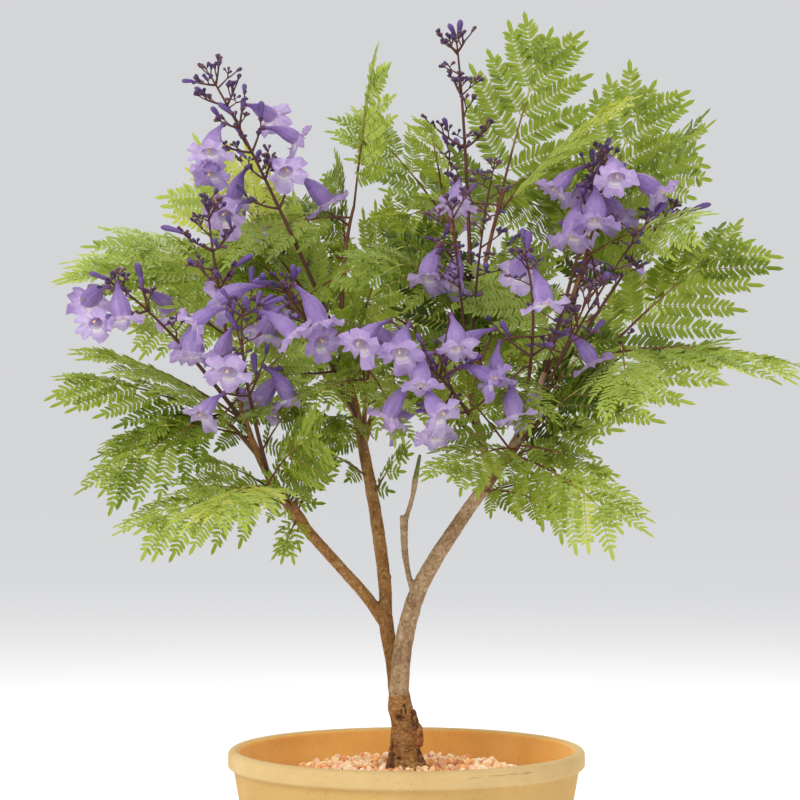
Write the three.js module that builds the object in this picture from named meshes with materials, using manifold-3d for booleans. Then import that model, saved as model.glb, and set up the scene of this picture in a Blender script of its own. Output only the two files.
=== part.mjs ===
// A flowering jacaranda bonsai in a round clay pot.
// Millimetres, +Z up, and -Y towards the side that the plant is shown from.
// The origin is the middle of the pot's flat underside.
import * as THREE from "three";
import { mergeVertices } from "three/addons/utils/BufferGeometryUtils.js";
import Module from "manifold-3d";

const wasm = await Module();
wasm.setup();

// The room between two pieces that touch in the real plant.
const CLEARANCE = 0.3;

// Pot: a tapering clay pot with a shallow band and a rounded lip.
const POT_HEIGHT = 188;
const POT_RADIUS = 107;
const POT_BASE_RADIUS = 71;
const POT_WALL = 7;
const POT_FLOOR = 10;
const BAND_HEIGHT = 12.5;
const BAND_STEP = 3.5;
const DRAIN_RADIUS = 5;
const DRAIN_RING = 42;
const DRAIN_COUNT = 3;
const DRAIN_SIDES = 8;
const ROUND_SIDES = 30;

// Soil and the gravel mound on it.
const SOIL_TOP = 164.7;
const GROUND = SOIL_TOP + CLEARANCE;
const GRAVEL_TOP = 176.5;
const GRAVEL_FLAT_RADIUS = 56;
const GRAVEL_RADIUS = 92;
const GRAVEL_HOLE = 15.5;
const GRAVEL_ROWS = 5;
const GRAVEL_LUMP = 1.4;
const LUMP_WAVE = 0.36;

// What is trimmed off under the trunk, so that it stands on a flat cut at ground level.
const FOOT_TRIM = 8;

// Limbs: the points that each passes, and its radius at each of them.
// The first point of a limb lies inside the limbs that it springs from.
const LIMB_SIDES = 6;
const TRUNK_SIDES = 14;
const LIMB_RINGS = 1;
const TRUNK_RINGS = 2;
const LIMBS = [
  {
    name: "trunk",
    from: [],
    points: [
      [0, 0, GROUND - FOOT_TRIM], [-0.3, 0, 176], [-1, 0, 189],
      [-2.4, 0, 204], [-3.6, 0, 213], [-4.6, 0, 221.5],
    ],
    radii: [13, 11.2, 8.6, 7.2, 7.1, 6.3],
  },
  {
    name: "right_bough",
    from: ["trunk"],
    points: [
      [-4.8, -1, 219], [-2.2, -2, 248], [4.8, -3, 276.5], [16, -5, 299.5],
      [34, -8, 327], [51.5, -11, 352], [70.5, -15, 379], [82, -18, 413],
    ],
    radii: [5.9, 5.6, 5.2, 4.7, 4.1, 3.9, 2.6, 1.8],
  },
  {
    name: "rear_stem",
    from: ["trunk", "right_bough"],
    points: [[-5.2, 4, 214], [-7, 8, 231], [-9, 9, 244], [-11.4, 9, 256], [-12.8, 9, 266]],
    radii: [5, 4.7, 4.6, 4.5, 4.5],
  },
  {
    name: "middle_bough",
    from: ["rear_stem"],
    points: [
      [-12.8, 9, 263], [-12.9, 10, 283], [-15.9, 12, 309], [-19.8, 15, 334],
      [-24.3, 18, 358], [-30.3, 20, 388], [-38, 21, 419], [-44, 22, 439],
    ],
    radii: [4.3, 3.9, 3.9, 3.8, 3.5, 3, 2.4, 2],
  },
  {
    name: "left_bough",
    from: ["rear_stem", "middle_bough"],
    points: [
      [-11, 9, 259], [-24, 7, 278], [-41, 3, 297.5], [-58.5, -2, 317.5],
      [-65.5, -5, 327.5], [-75, -9, 340], [-84, -13, 355], [-93, -17, 376], [-99, -20, 396],
    ],
    radii: [3.9, 3.5, 3.3, 3.2, 3.9, 2.9, 2.4, 2, 1.6],
  },
  {
    name: "centre_branch",
    from: ["right_bough"],
    points: [[51.5, -11, 350], [45, -9, 372], [39, -5, 398], [36.9, 0, 430], [38.7, 6, 465]],
    radii: [2.8, 2.4, 2.1, 1.8, 1.5],
  },
  {
    name: "right_back_bough",
    from: ["right_bough"],
    points: [[58, -12, 361], [69, 6, 380], [86, 36, 412], [100, 66, 440]],
    radii: [2.2, 1.9, 1.7, 1.4],
  },
  {
    name: "back_bough",
    from: ["middle_bough"],
    points: [[-26.5, 18.7, 369], [-20, 38, 388], [-8, 66, 412], [6, 94, 440]],
    radii: [2.4, 2.1, 1.8, 1.5],
  },
  {
    name: "back_left_bough",
    from: ["middle_bough"],
    points: [[-30.3, 20, 388], [-42, 36, 402], [-60, 62, 424], [-78, 88, 446]],
    radii: [2.2, 1.9, 1.7, 1.4],
  },
  {
    name: "cut_shoot",
    from: ["right_bough"],
    points: [[4.6, -3, 279], [0.6, -2, 294.5], [-1.2, -1, 309.5], [-1.5, 0, 327.5]],
    radii: [1.8, 1.7, 2.1, 2.6],
  },
];

// The sprout that has grown from the side of the cut shoot.
const SPROUT = {
  points: [[-1.3, -0.5, 322], [3.4, -1, 338], [5.2, -2, 348], [8, -4, 364]],
  radii: [1.6, 1.4, 1.9, 0.9],
};

// Trunk relief: the root flare's lobes, and burls as height, compass angle, reach and size.
const FLARE_LOBES = 5;
const FLARE_TURN = 0.6;
const FLARE_DEPTH = 0.16;
const FLARE_HEIGHT = 17;
const BURLS = [
  { height: 198, angle: 0.1, reach: 9, size: 4.2 },
  { height: 214, angle: -1.7, reach: 9, size: 1.6 },
  { height: 178, angle: 3, reach: 8, size: 2.6 },
];

// Leaves: pairs of side fronds on an arching midrib, with one frond at its tip.
// A leaf's face leans to the front, or to the back where its tip lies beyond the lean depth.
// Stations are shares of the leaf's length, and angles are in radians.
const LEAF_PAIRS = [3, 4];
const PAIR_PITCH = 40;
const LEAF_ARCH = 0.13;
const LEAF_ROLL = 0.5;
const LEAF_LEAN = 1.1;
const LEAN_DEPTH = 45;
const LEAF_THICKNESS = 1.5;
const FROND_FIRST = 0.25;
const FROND_LAST = 0.76;
const FROND_REACH = 0.42;
const FROND_WIDEST = 0.4;
const FROND_FALL = 0.68;
const FROND_ANGLES = [0.86, 0.5];
const FROND_WIDTH = 11;
const FROND_BASE = 2.4;
const TIP_WIDTH = 7;
const MIDRIB_WIDTH = 2.4;
const MIDRIB_SINK = 1.5;
const STEM_RADII = [2.1, 1.3];
const STEM_BEND = 0.18;
const STEM_RINGS = 5;

// Extra leaves of a shoot: their lengths, and the crown's own room, an ellipsoid.
const EXTRA_LEAF = [78, 118];
const EXTRA_RISE = [-0.25, 0.8];
const GOLDEN_ANGLE = Math.PI * (3 - Math.sqrt(5));
const CROWN_MIDDLE = [2, 8, 468];
const CROWN_HALF = [236, 190, 168];

// Panicles: pairs of side twigs on a stem, with open flowers below and buds above.
// A flower turns a little to the front, or to the back where its stem ends beyond the lean depth.
const PANICLE_LAST = 0.94;
const PANICLE_SPREAD = 25;
const PANICLE_TAPER = 0.72;
const TWIG_RISE = 0.75;
const TWIG_RADIUS = 1.1;
const FLOWER_LENGTH = [29, 38];
const FLOWER_BELLY = 6.4;
const FLOWER_MOUTH = 0.34;
const FLOWER_DROOP = [0.2, 1];
const FLOWER_TURN = 0.3;
const FLOWER_SIDES = 5;
const BUD_LENGTH = 10;
const BUD_RADIUS = 2.6;
const BUD_SIDES = 3;

// Leafy shoots: the limb and station that each leaves, its stem's end, the tips of its
// leading leaves, and how many extra leaves the seeded rule adds. A tip's fourth value is
// the leaf's own lean, where it doesn't face the front as the others do.
const SHOOTS = [
  {
    name: "left_upper_foliage", limb: "middle_bough", at: 0.78, end: [-72, 12, 464],
    tips: [[-206, 8, 478, 0.6], [-116, 0, 456], [-119, 62, 494]], extra: 0, seed: 11,
  },
  {
    name: "left_side_foliage", limb: "left_bough", at: 0.8, end: [-112, -18, 388],
    tips: [[-208, -20, 410, 0.4], [-180, -34, 368, 0.7], [-178, -78, 341, 0.5]], extra: 0, seed: 23,
  },
  {
    name: "left_low_foliage", limb: "left_bough", at: 0.52, end: [-82, -38, 346],
    tips: [[-156, -88, 321, 0.5], [-112, -140, 330, 0.5], [-48, -120, 378, 3]], extra: 0, seed: 31,
  },
  {
    name: "left_top_foliage", limb: "middle_bough", at: 0.89, end: [-32, 22, 514],
    tips: [[-45, 74, 544], [-92, 111, 525], [-19, -18, 598, 0.5]], extra: 0, seed: 43,
  },
  {
    name: "middle_top_foliage", limb: "centre_branch", at: 0.86, end: [22, 14, 520],
    tips: [[-35, 34, 572], [53, 99, 534], [12, -40, 560]], extra: 0, seed: 53,
  },
  {
    name: "top_right_foliage", limb: "centre_branch", at: 0.66, end: [58, -8, 520],
    tips: [[88, 36, 622], [128, -36, 574, 0.2], [96, 60, 540]], extra: 0, seed: 61,
  },
  {
    name: "right_upper_foliage", limb: "right_bough", at: 0.93, end: [112, 6, 492],
    tips: [[151, 36, 590], [184, 66, 556], [170, -60, 500]], extra: 1, seed: 71,
  },
  {
    name: "right_side_foliage", limb: "right_bough", at: 0.785, end: [128, -14, 432],
    tips: [[208, 12, 494], [233, -20, 416, 0.35], [124, -96, 392]], extra: 0, seed: 83,
  },
  {
    name: "right_low_foliage", limb: "right_bough", at: 0.68, end: [66, -46, 370],
    tips: [[122, -112, 322], [22, -124, 352], [118, -56, 352]], extra: 0, seed: 97,
  },
  {
    name: "centre_left_foliage", limb: "middle_bough", at: 0.6, end: [-22, -24, 414],
    tips: [[-32, -50, 452], [-60, -60, 396], [-2, -60, 374]], extra: 0, seed: 101,
  },
  {
    name: "centre_right_foliage", limb: "centre_branch", at: 0.45, end: [44, -32, 418],
    tips: [[2, 20, 500], [78, 14, 493], [77, -89, 385]], extra: 1, seed: 113,
  },
  {
    name: "back_left_foliage", limb: "back_left_bough", at: 0.8, end: [-104, 104, 456],
    tips: [[-180, 120, 440], [-160, 130, 486], [-92, 186, 430], [-62, 170, 520]], extra: 0, seed: 127,
  },
  {
    name: "back_middle_foliage", limb: "back_bough", at: 0.8, end: [0, 124, 462],
    tips: [[20, 190, 520], [-40, 180, 416], [64, 176, 430]], extra: 0, seed: 131,
  },
  {
    name: "back_right_foliage", limb: "right_back_bough", at: 0.8, end: [122, 88, 452],
    tips: [[120, 150, 396], [196, 96, 488], [120, 170, 436], [110, 120, 552]], extra: 0, seed: 149,
  },
  {
    name: "back_low_foliage", limb: "back_bough", at: 0.5, end: [8, 72, 400],
    tips: [[60, 128, 392], [-50, 138, 396]], extra: 0, seed: 157,
  },
];

// Panicles: the limb and station that each leaves, its stem's end, the station of its first
// side twigs, its pairs of twigs, the share of them with open flowers, and its seed.
const PANICLES = [
  {
    name: "left_top_panicle", limb: "middle_bough", at: 1,
    end: [-117, -15, 590], first: 0.39, nodes: 6, open: 0.66, seed: 946,
  },
  {
    name: "left_inner_panicle", limb: "left_bough", at: 1,
    end: [-116, -43, 507], first: 0.28, nodes: 4, open: 0.3, seed: 368,
  },
  {
    name: "left_far_panicle", limb: "left_bough", at: 0.9,
    end: [-170, -41, 464], first: 0.73, nodes: 2, open: 1, seed: 732,
  },
  {
    name: "left_front_panicle", limb: "left_bough", at: 0.72,
    end: [-93, -96, 448], first: 0.4, nodes: 3, open: 1, seed: 865,
  },
  {
    name: "left_middle_panicle", limb: "middle_bough", at: 0.7,
    end: [-72, -67, 461], first: 0.27, nodes: 3, open: 1, seed: 894,
  },
  {
    name: "centre_front_panicle", limb: "centre_branch", at: 0.3,
    end: [11, -88, 414], first: 0.2, nodes: 4, open: 1, seed: 816,
  },
  {
    name: "top_bud_panicle", limb: "centre_branch", at: 1,
    end: [30, -4, 611], first: 0.02, nodes: 5, open: 0.3, seed: 897,
  },
  {
    name: "right_front_panicle", limb: "right_bough", at: 0.82,
    end: [68, -83, 476], first: 0.4, nodes: 2, open: 1, seed: 468,
  },
  {
    name: "right_top_panicle", limb: "right_bough", at: 1,
    end: [115, -39, 539], first: 0.67, nodes: 4, open: 1, seed: 749,
  },
  {
    name: "right_bud_panicle", limb: "right_bough", at: 0.87,
    end: [160, 10, 512], first: 0.3, nodes: 3, open: 0, seed: 263,
  },
  {
    name: "back_left_panicle", limb: "back_left_bough", at: 1,
    end: [-96, 92, 544], first: 0.3, nodes: 3, open: 0.7, seed: 269,
  },
  {
    name: "back_middle_panicle", limb: "back_bough", at: 1,
    end: [28, 108, 556], first: 0.3, nodes: 3, open: 0.7, seed: 271,
  },
  {
    name: "back_right_panicle", limb: "right_back_bough", at: 1,
    end: [122, 92, 528], first: 0.3, nodes: 3, open: 0.7, seed: 277,
  },
];

const PAINT = {
  clay: { color: 0xdeb46e, roughness: 0.85 },
  soil: { color: 0x4a3628, roughness: 1 },
  gravel: { color: 0xd6a684, roughness: 0.95 },
  bark: { color: 0x8a6a4e, roughness: 0.9 },
  leaf: { color: 0x7c9630, roughness: 0.6 },
  blossom: { color: 0x9583cc, roughness: 0.6 },
};

const UP = new THREE.Vector3(0, 0, 1);

function vec(place) {
  return new THREE.Vector3(...place);
}

function mix(low, high, share) {
  return low + (high - low) * share;
}

// The same seed always gives the same run of numbers from 0 up to 1.
function seeded(seed) {
  let state = seed >>> 0;
  return () => {
    state = (state + 0x6d2b79f5) >>> 0;
    let word = Math.imul(state ^ (state >>> 15), state | 1);
    word = (word + Math.imul(word ^ (word >>> 7), word | 61)) ^ word;
    return ((word ^ (word >>> 14)) >>> 0) / 4294967296;
  };
}

// A closed geometry as a solid that can be joined and cut.
function solidOf(geometry) {
  const bare = new THREE.BufferGeometry();
  bare.setAttribute("position", geometry.getAttribute("position"));
  bare.setIndex(geometry.index);
  const merged = mergeVertices(bare, 1e-4);
  const corners = [];
  for (let i = 0; i < merged.index.count; i += 3) {
    const [a, b, c] = [0, 1, 2].map((step) => merged.index.getX(i + step));
    if (a !== b && b !== c && c !== a) corners.push(a, b, c);
  }
  return new wasm.Manifold(
    new wasm.Mesh({
      numProp: 3,
      vertProperties: merged.getAttribute("position").array,
      triVerts: new Uint32Array(corners),
    }),
  );
}

// The largest of a solid's separate bodies, with loose scraps and sealed hollows left out.
function wholeBody(solid) {
  const bodies = solid.decompose();
  return bodies.reduce((best, body) => (body.volume() > best.volume() ? body : best));
}

function geometryOf(solid) {
  const mesh = solid.getMesh();
  const geometry = new THREE.BufferGeometry();
  geometry.setAttribute("position", new THREE.BufferAttribute(Float32Array.from(mesh.vertProperties), 3));
  geometry.setIndex(new THREE.BufferAttribute(Uint32Array.from(mesh.triVerts), 1));
  const faceted = geometry.toNonIndexed();
  faceted.computeVertexNormals();
  return faceted;
}

function lathe(profile, sides) {
  return new THREE.LatheGeometry(profile.map(([radius, along]) => new THREE.Vector2(radius, along)), sides);
}

// A tube bent from a cylinder: radiusAt gives its radius at a share of the way and an angle.
function tube(curve, radiusAt, sides, rings, overrun = 0) {
  const geometry = new THREE.CylinderGeometry(1, 1, 1, sides, rings);
  const frames = [];
  let across = null;
  for (let ring = 0; ring <= rings; ring += 1) {
    const share = ring / rings;
    const along = curve.getTangent(share);
    if (!across) {
      across = Math.abs(along.x) < 0.8 ? new THREE.Vector3(1, 0, 0) : new THREE.Vector3(0, 1, 0);
    }
    across = across.clone().addScaledVector(along, -across.dot(along)).normalize();
    const middle = curve.getPoint(share);
    if (ring === 0) middle.addScaledVector(along, -overrun);
    if (ring === rings) middle.addScaledVector(along, overrun);
    frames.push({ middle, across, beyond: across.clone().cross(along) });
  }
  const places = geometry.getAttribute("position");
  for (let i = 0; i < places.count; i += 1) {
    const share = places.getY(i) + 0.5;
    const { middle, across: side, beyond } = frames[Math.round(share * rings)];
    const [x, z] = [places.getX(i), places.getZ(i)];
    const radius = radiusAt(share, Math.atan2(-z, x));
    const place = middle.clone().addScaledVector(side, x * radius).addScaledVector(beyond, z * radius);
    places.setXYZ(i, place.x, place.y, place.z);
  }
  return geometry;
}

function limbCurve(points) {
  return new THREE.CatmullRomCurve3(points.map(vec), false, "catmullrom", 0.5);
}

// The radius part of the way along a limb, between the radii given at its points.
function radiusAlong(radii, share) {
  const step = Math.min(share * (radii.length - 1), radii.length - 1.000001);
  const index = Math.floor(step);
  return mix(radii[index], radii[index + 1], step - index);
}

// How far the trunk's flare and burls stand out at a height and compass angle.
function trunkRelief(height, angle) {
  const fade = Math.exp(-Math.max(height - GROUND, 0) / FLARE_HEIGHT);
  let relief = 12 * FLARE_DEPTH * fade * Math.cos(FLARE_LOBES * (angle - FLARE_TURN));
  for (const burl of BURLS) {
    const turn = Math.atan2(Math.sin(angle - burl.angle), Math.cos(angle - burl.angle));
    const away = Math.hypot(height - burl.height, turn * 8) / burl.reach;
    relief += burl.size * Math.exp(-2 * away * away);
  }
  return relief;
}

function limbSolid(limb, curve, grow) {
  const isTrunk = limb.name === "trunk";
  const rings = (isTrunk ? TRUNK_RINGS : LIMB_RINGS) * (limb.points.length - 1);
  const radiusAt = (share, angle) => {
    const relief = isTrunk ? trunkRelief(curve.getPoint(share).z, angle) : 0;
    return radiusAlong(limb.radii, share) + relief + grow;
  };
  return solidOf(tube(curve, radiusAt, isTrunk ? TRUNK_SIDES : LIMB_SIDES, rings, grow));
}

function twigSolid(curve, radii, rings) {
  return solidOf(tube(curve, (share) => mix(radii[0], radii[1], share), 3, rings));
}

// A twig that ends in a flower or bud. The profile is rings of radius and distance: up to the
// knee the rings follow the twig from its root, and past it they follow the bloom's own axis.
function bloomSolid(root, knee, face, profile, sides) {
  const reach = root.distanceTo(knee);
  const outward = knee.clone().sub(root).normalize();
  const upright = new THREE.Vector3(0, 1, 0);
  const alongTwig = new THREE.Quaternion().setFromUnitVectors(upright, outward);
  const alongBloom = new THREE.Quaternion().setFromUnitVectors(outward, face).multiply(alongTwig);
  const geometry = lathe(profile, sides);
  const places = geometry.getAttribute("position");
  for (let i = 0; i < places.count; i += 1) {
    const distance = places.getY(i);
    const pastKnee = distance > reach;
    const place = new THREE.Vector3(places.getX(i), pastKnee ? distance - reach : distance, places.getZ(i));
    place.applyQuaternion(pastKnee ? alongBloom : alongTwig).add(pastKnee ? knee : root);
    places.setXYZ(i, place.x, place.y, place.z);
  }
  return solidOf(geometry);
}

function flowerSolid(twig) {
  const reach = twig.root.distanceTo(twig.end);
  const profile = [
    [0, 0], [TWIG_RADIUS, 0.01], [TWIG_RADIUS, reach], [FLOWER_BELLY, reach + 0.62 * twig.size],
    [FLOWER_MOUTH * twig.size, reach + twig.size], [0, reach + 0.74 * twig.size],
  ];
  return bloomSolid(twig.root, twig.end, twig.face, profile, FLOWER_SIDES);
}

function budSolid(twig) {
  const reach = twig.root.distanceTo(twig.end);
  const outward = twig.end.clone().sub(twig.root).normalize();
  const profile = [
    [0, 0], [TWIG_RADIUS, 0.01], [TWIG_RADIUS, reach],
    [BUD_RADIUS, reach + 0.55 * BUD_LENGTH], [0, reach + BUD_LENGTH],
  ];
  return bloomSolid(twig.root, twig.end, outward, profile, BUD_SIDES);
}

function bend(start, end, lean, share) {
  const length = start.distanceTo(end);
  const control = start.clone().lerp(end, 0.5).addScaledVector(lean, share * length);
  return new THREE.QuadraticBezierCurve3(start, control, end);
}

function insideCrown(place) {
  const [x, y, z] = place.toArray().map((value, axis) => (value - CROWN_MIDDLE[axis]) / CROWN_HALF[axis]);
  return x * x + y * y + z * z < 1;
}

// The length of a side frond at a station on a leaf of the given length.
function frondLength(station, leafLength) {
  const off = (station - FROND_WIDEST) / FROND_FALL;
  return FROND_REACH * leafLength * (1 - off * off);
}

// The leaves of a shoot: leading leaves to their tips, then extra ones by the seeded rule.
function growShoot(spec, stem) {
  const draw = seeded(spec.seed);
  const total = spec.tips.length + spec.extra;
  const leaves = [];
  for (let i = 0; i < total; i += 1) {
    const base = stem.getPoint(0.45 + (0.55 * (i + 1)) / total);
    const [turn, rise, size, roll] = [draw(), draw(), draw(), draw()];
    let tip = null;
    let lean = LEAF_LEAN;
    if (i < spec.tips.length) {
      tip = vec(spec.tips[i].slice(0, 3));
      lean = spec.tips[i][3] ?? LEAF_LEAN;
    } else {
      const compass = GOLDEN_ANGLE * (i + spec.seed) + turn;
      const lift = mix(EXTRA_RISE[0], EXTRA_RISE[1], rise);
      const length = mix(EXTRA_LEAF[0], EXTRA_LEAF[1], size);
      const heading = new THREE.Vector3(
        Math.cos(compass) * Math.cos(lift), Math.sin(compass) * Math.cos(lift), Math.sin(lift));
      tip = base.clone().addScaledVector(heading, length);
      if (!insideCrown(tip)) continue;
    }
    leaves.push({ base, tip, lean, roll: (roll - 0.5) * LEAF_ROLL });
  }
  return leaves;
}

// The fronds of a leaf in its own flat frame: root along the midrib, hand and direction.
function leafFronds(length) {
  const pairs = length > LEAF_PAIRS[1] * PAIR_PITCH - PAIR_PITCH / 2 ? LEAF_PAIRS[1] : LEAF_PAIRS[0];
  const fronds = [];
  for (let pair = 0; pair < pairs; pair += 1) {
    const share = pair / (pairs - 1);
    const station = mix(FROND_FIRST, FROND_LAST, share);
    const angle = mix(FROND_ANGLES[0], FROND_ANGLES[1], share);
    for (const hand of [-1, 1]) fronds.push({ station, angle, hand, reach: frondLength(station, length) });
  }
  return fronds;
}

// Half of a leaf's outline, from its base to its tip, on one side of the midrib.
function leafEdge(length, fronds, hand) {
  const half = MIDRIB_WIDTH / 2;
  const edge = [[-MIDRIB_SINK, half]];
  for (const frond of fronds.filter((other) => other.hand === hand)) {
    const root = frond.station * length;
    const [forth, out] = [Math.cos(frond.angle), Math.sin(frond.angle)];
    const [bulge, wide] = [0.45 * frond.reach, Math.min(FROND_WIDTH, 0.3 * frond.reach)];
    edge.push([root - FROND_BASE / 2, half]);
    edge.push([root + forth * bulge - out * wide, out * bulge + forth * wide]);
    edge.push([root + forth * frond.reach, out * frond.reach]);
    edge.push([root + FROND_BASE / 2, half]);
  }
  edge.push([mix(FROND_LAST, 1, 0.4) * length, TIP_WIDTH / 2]);
  return edge.map(([along, across]) => new THREE.Vector2(along, hand * across));
}

// A leaf cut from a flat sheet in its own outline, and bent along its arching midrib.
function leafSolid(leaf, fronds) {
  const length = leaf.base.distanceTo(leaf.tip);
  const midrib = bend(leaf.base, leaf.tip, UP, LEAF_ARCH);
  const heading = leaf.tip.clone().sub(leaf.base).normalize();
  const face = UP.clone().setY(leaf.tip.y < LEAN_DEPTH ? -leaf.lean : leaf.lean);
  const side = heading.clone().cross(face).normalize().applyAxisAngle(heading, leaf.roll);
  const outline = [
    ...leafEdge(length, fronds, -1),
    new THREE.Vector2(length, 0),
    ...leafEdge(length, fronds, 1).reverse(),
  ];
  const cut = { depth: LEAF_THICKNESS, bevelEnabled: false };
  const sheet = new THREE.ExtrudeGeometry(new THREE.Shape(outline), cut);
  const places = sheet.getAttribute("position");
  for (let i = 0; i < places.count; i += 1) {
    const station = Math.min(Math.max(places.getX(i) / length, 0), 1);
    const along = midrib.getTangent(station);
    const normal = along.clone().cross(side).normalize();
    const place = midrib.getPoint(station).addScaledVector(along, places.getX(i) - station * length);
    place.addScaledVector(side, places.getY(i));
    place.addScaledVector(normal, places.getZ(i) - LEAF_THICKNESS / 2);
    places.setXYZ(i, place.x, place.y, place.z);
  }
  return solidOf(sheet);
}

// A leaf with the fronds that have room, or nothing where its midrib has none.
function leafWithRoom(leaf, others) {
  const fronds = leafFronds(leaf.base.distanceTo(leaf.tip));
  const whole = leafSolid(leaf, fronds);
  if (isClear(whole, others)) return whole;
  const free = fronds.filter((frond) => isClear(leafSolid(leaf, [frond]), others));
  const trimmed = leafSolid(leaf, free);
  return isClear(trimmed, others) ? trimmed : null;
}

// The side twigs, flowers and buds of a panicle.
function growPanicle(spec, stem) {
  const draw = seeded(spec.seed);
  const twigs = [];
  for (let node = 0; node < spec.nodes; node += 1) {
    const share = node / (spec.nodes - 1);
    const station = mix(spec.first, PANICLE_LAST, share);
    const root = stem.getPoint(station);
    const along = stem.getTangent(station);
    const first = new THREE.Vector3(1, 0, 0).addScaledVector(along, -along.x).normalize();
    const second = along.clone().cross(first);
    const spin = node * 1.35 + draw() * 0.9;
    for (const hand of [0, Math.PI]) {
      const turn = spin + hand + (draw() - 0.5) * 0.7;
      const reach = PANICLE_SPREAD * (1 - PANICLE_TAPER * station) * mix(0.8, 1.25, draw());
      const out = first.clone().multiplyScalar(Math.cos(turn)).addScaledVector(second, Math.sin(turn));
      const end = root.clone().addScaledVector(out, reach).addScaledVector(along, TWIG_RISE * reach);
      const droop = mix(FLOWER_DROOP[0], FLOWER_DROOP[1], draw());
      const size = mix(FLOWER_LENGTH[0], FLOWER_LENGTH[1], draw());
      const turned = out.y + (spec.end[1] > LEAN_DEPTH ? FLOWER_TURN : -FLOWER_TURN);
      const flat = new THREE.Vector3(out.x, turned, 0).normalize();
      const face = flat.multiplyScalar(Math.cos(droop)).addScaledVector(UP, -Math.sin(droop));
      const opens = share < spec.open || spec.open === 1;
      twigs.push({ root, end, opens, face, size });
    }
  }
  return twigs;
}

// Whether a piece keeps its clearance from every solid in a list.
function isClear(piece, others) {
  const box = piece.boundingBox();
  return others.every((other) => {
    const room = other.boundingBox();
    const apart = [0, 1, 2].some(
      (axis) => box.min[axis] > room.max[axis] + CLEARANCE || box.max[axis] < room.min[axis] - CLEARANCE);
    return apart || piece.minGap(other, 1) >= CLEARANCE;
  });
}

// Pot, soil and gravel: profiles of radius and height, turned about the upright axis.
function latheSolid(profile) {
  return solidOf(lathe(profile, ROUND_SIDES).rotateX(Math.PI / 2));
}

function innerRadius(height) {
  const share = (height - POT_FLOOR) / (POT_HEIGHT - POT_FLOOR);
  return mix(POT_BASE_RADIUS - POT_WALL, POT_RADIUS - POT_WALL, share);
}

function potSolid() {
  const band = POT_HEIGHT - BAND_HEIGHT;
  const lip = POT_WALL / 2;
  const profile = [
    [0, 0],
    [POT_BASE_RADIUS - 2, 0],
    [POT_BASE_RADIUS, 2],
    [POT_RADIUS - BAND_STEP, band],
    [POT_RADIUS, band + 3],
    [POT_RADIUS, POT_HEIGHT - lip],
    [POT_RADIUS - 0.3 * lip, POT_HEIGHT - 0.3 * lip],
    [POT_RADIUS - lip, POT_HEIGHT],
    [POT_RADIUS - 1.7 * lip, POT_HEIGHT - 0.3 * lip],
    [POT_RADIUS - POT_WALL, POT_HEIGHT - lip],
    [innerRadius(POT_FLOOR), POT_FLOOR],
    [0, POT_FLOOR],
  ];
  let pot = latheSolid(profile);
  for (let i = 0; i < DRAIN_COUNT; i += 1) {
    const turn = ((i + 0.5) / DRAIN_COUNT) * 2 * Math.PI;
    const drain = new THREE.CylinderGeometry(DRAIN_RADIUS, DRAIN_RADIUS, 3 * POT_FLOOR, DRAIN_SIDES);
    drain.rotateX(Math.PI / 2).translate(DRAIN_RING * Math.cos(turn), DRAIN_RING * Math.sin(turn), 0);
    pot = pot.subtract(solidOf(drain));
  }
  return pot;
}

function soilSolid() {
  const low = POT_FLOOR + CLEARANCE;
  const gap = 2 * CLEARANCE;
  const [foot, brim] = [innerRadius(low) - gap, innerRadius(SOIL_TOP) - gap];
  return latheSolid([[0, low], [foot, low], [brim, SOIL_TOP], [0, SOIL_TOP]]);
}

// How far the gravel's uneven top stands above or below its mean height.
function gravelLump(x, y) {
  return GRAVEL_LUMP * Math.sin(LUMP_WAVE * (x + 0.3 * y)) * Math.sin(LUMP_WAVE * (y - 0.35 * x) + 1);
}

function gravelSolid() {
  const edge = Math.min(GRAVEL_RADIUS, innerRadius(GROUND) - 2 * CLEARANCE);
  const profile = [
    [GRAVEL_HOLE, GROUND],
    [edge, GROUND],
    [edge - 3, GROUND + 2],
    [mix(GRAVEL_FLAT_RADIUS, edge, 0.4), mix(GRAVEL_TOP, GROUND, 0.45)],
  ];
  for (let row = 0; row < GRAVEL_ROWS; row += 1) {
    profile.push([mix(GRAVEL_FLAT_RADIUS, GRAVEL_HOLE, row / (GRAVEL_ROWS - 1)), GRAVEL_TOP]);
  }
  profile.push([GRAVEL_HOLE, GROUND]);
  const geometry = lathe(profile, ROUND_SIDES);
  const places = geometry.getAttribute("position");
  for (let i = 0; i < places.count; i += 1) {
    const height = places.getY(i);
    if (height > GROUND + 3) places.setY(i, height + gravelLump(places.getX(i), -places.getZ(i)));
  }
  return solidOf(geometry.rotateX(Math.PI / 2));
}

// Limbs, each cut back to clear the limbs that it springs from.
const curves = new Map();
const limbs = new Map();
for (const limb of LIMBS) {
  const curve = limbCurve(limb.points);
  let solid = limbSolid(limb, curve, 0);
  if (limb.name === "trunk") {
    const below = new THREE.BoxGeometry(4 * POT_RADIUS, 4 * POT_RADIUS, GROUND).translate(0, 0, GROUND / 2);
    solid = solid.subtract(solidOf(below));
  }
  if (limb.name === "cut_shoot") {
    const sprout = limbSolid({ ...SPROUT, name: "sprout" }, limbCurve(SPROUT.points), 0);
    solid = solid.add(sprout);
  }
  for (const parent of limb.from) {
    const source = LIMBS.find((other) => other.name === parent);
    solid = solid.subtract(limbSolid(source, curves.get(parent), CLEARANCE));
  }
  curves.set(limb.name, curve);
  limbs.set(limb.name, wholeBody(solid));
}

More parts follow.
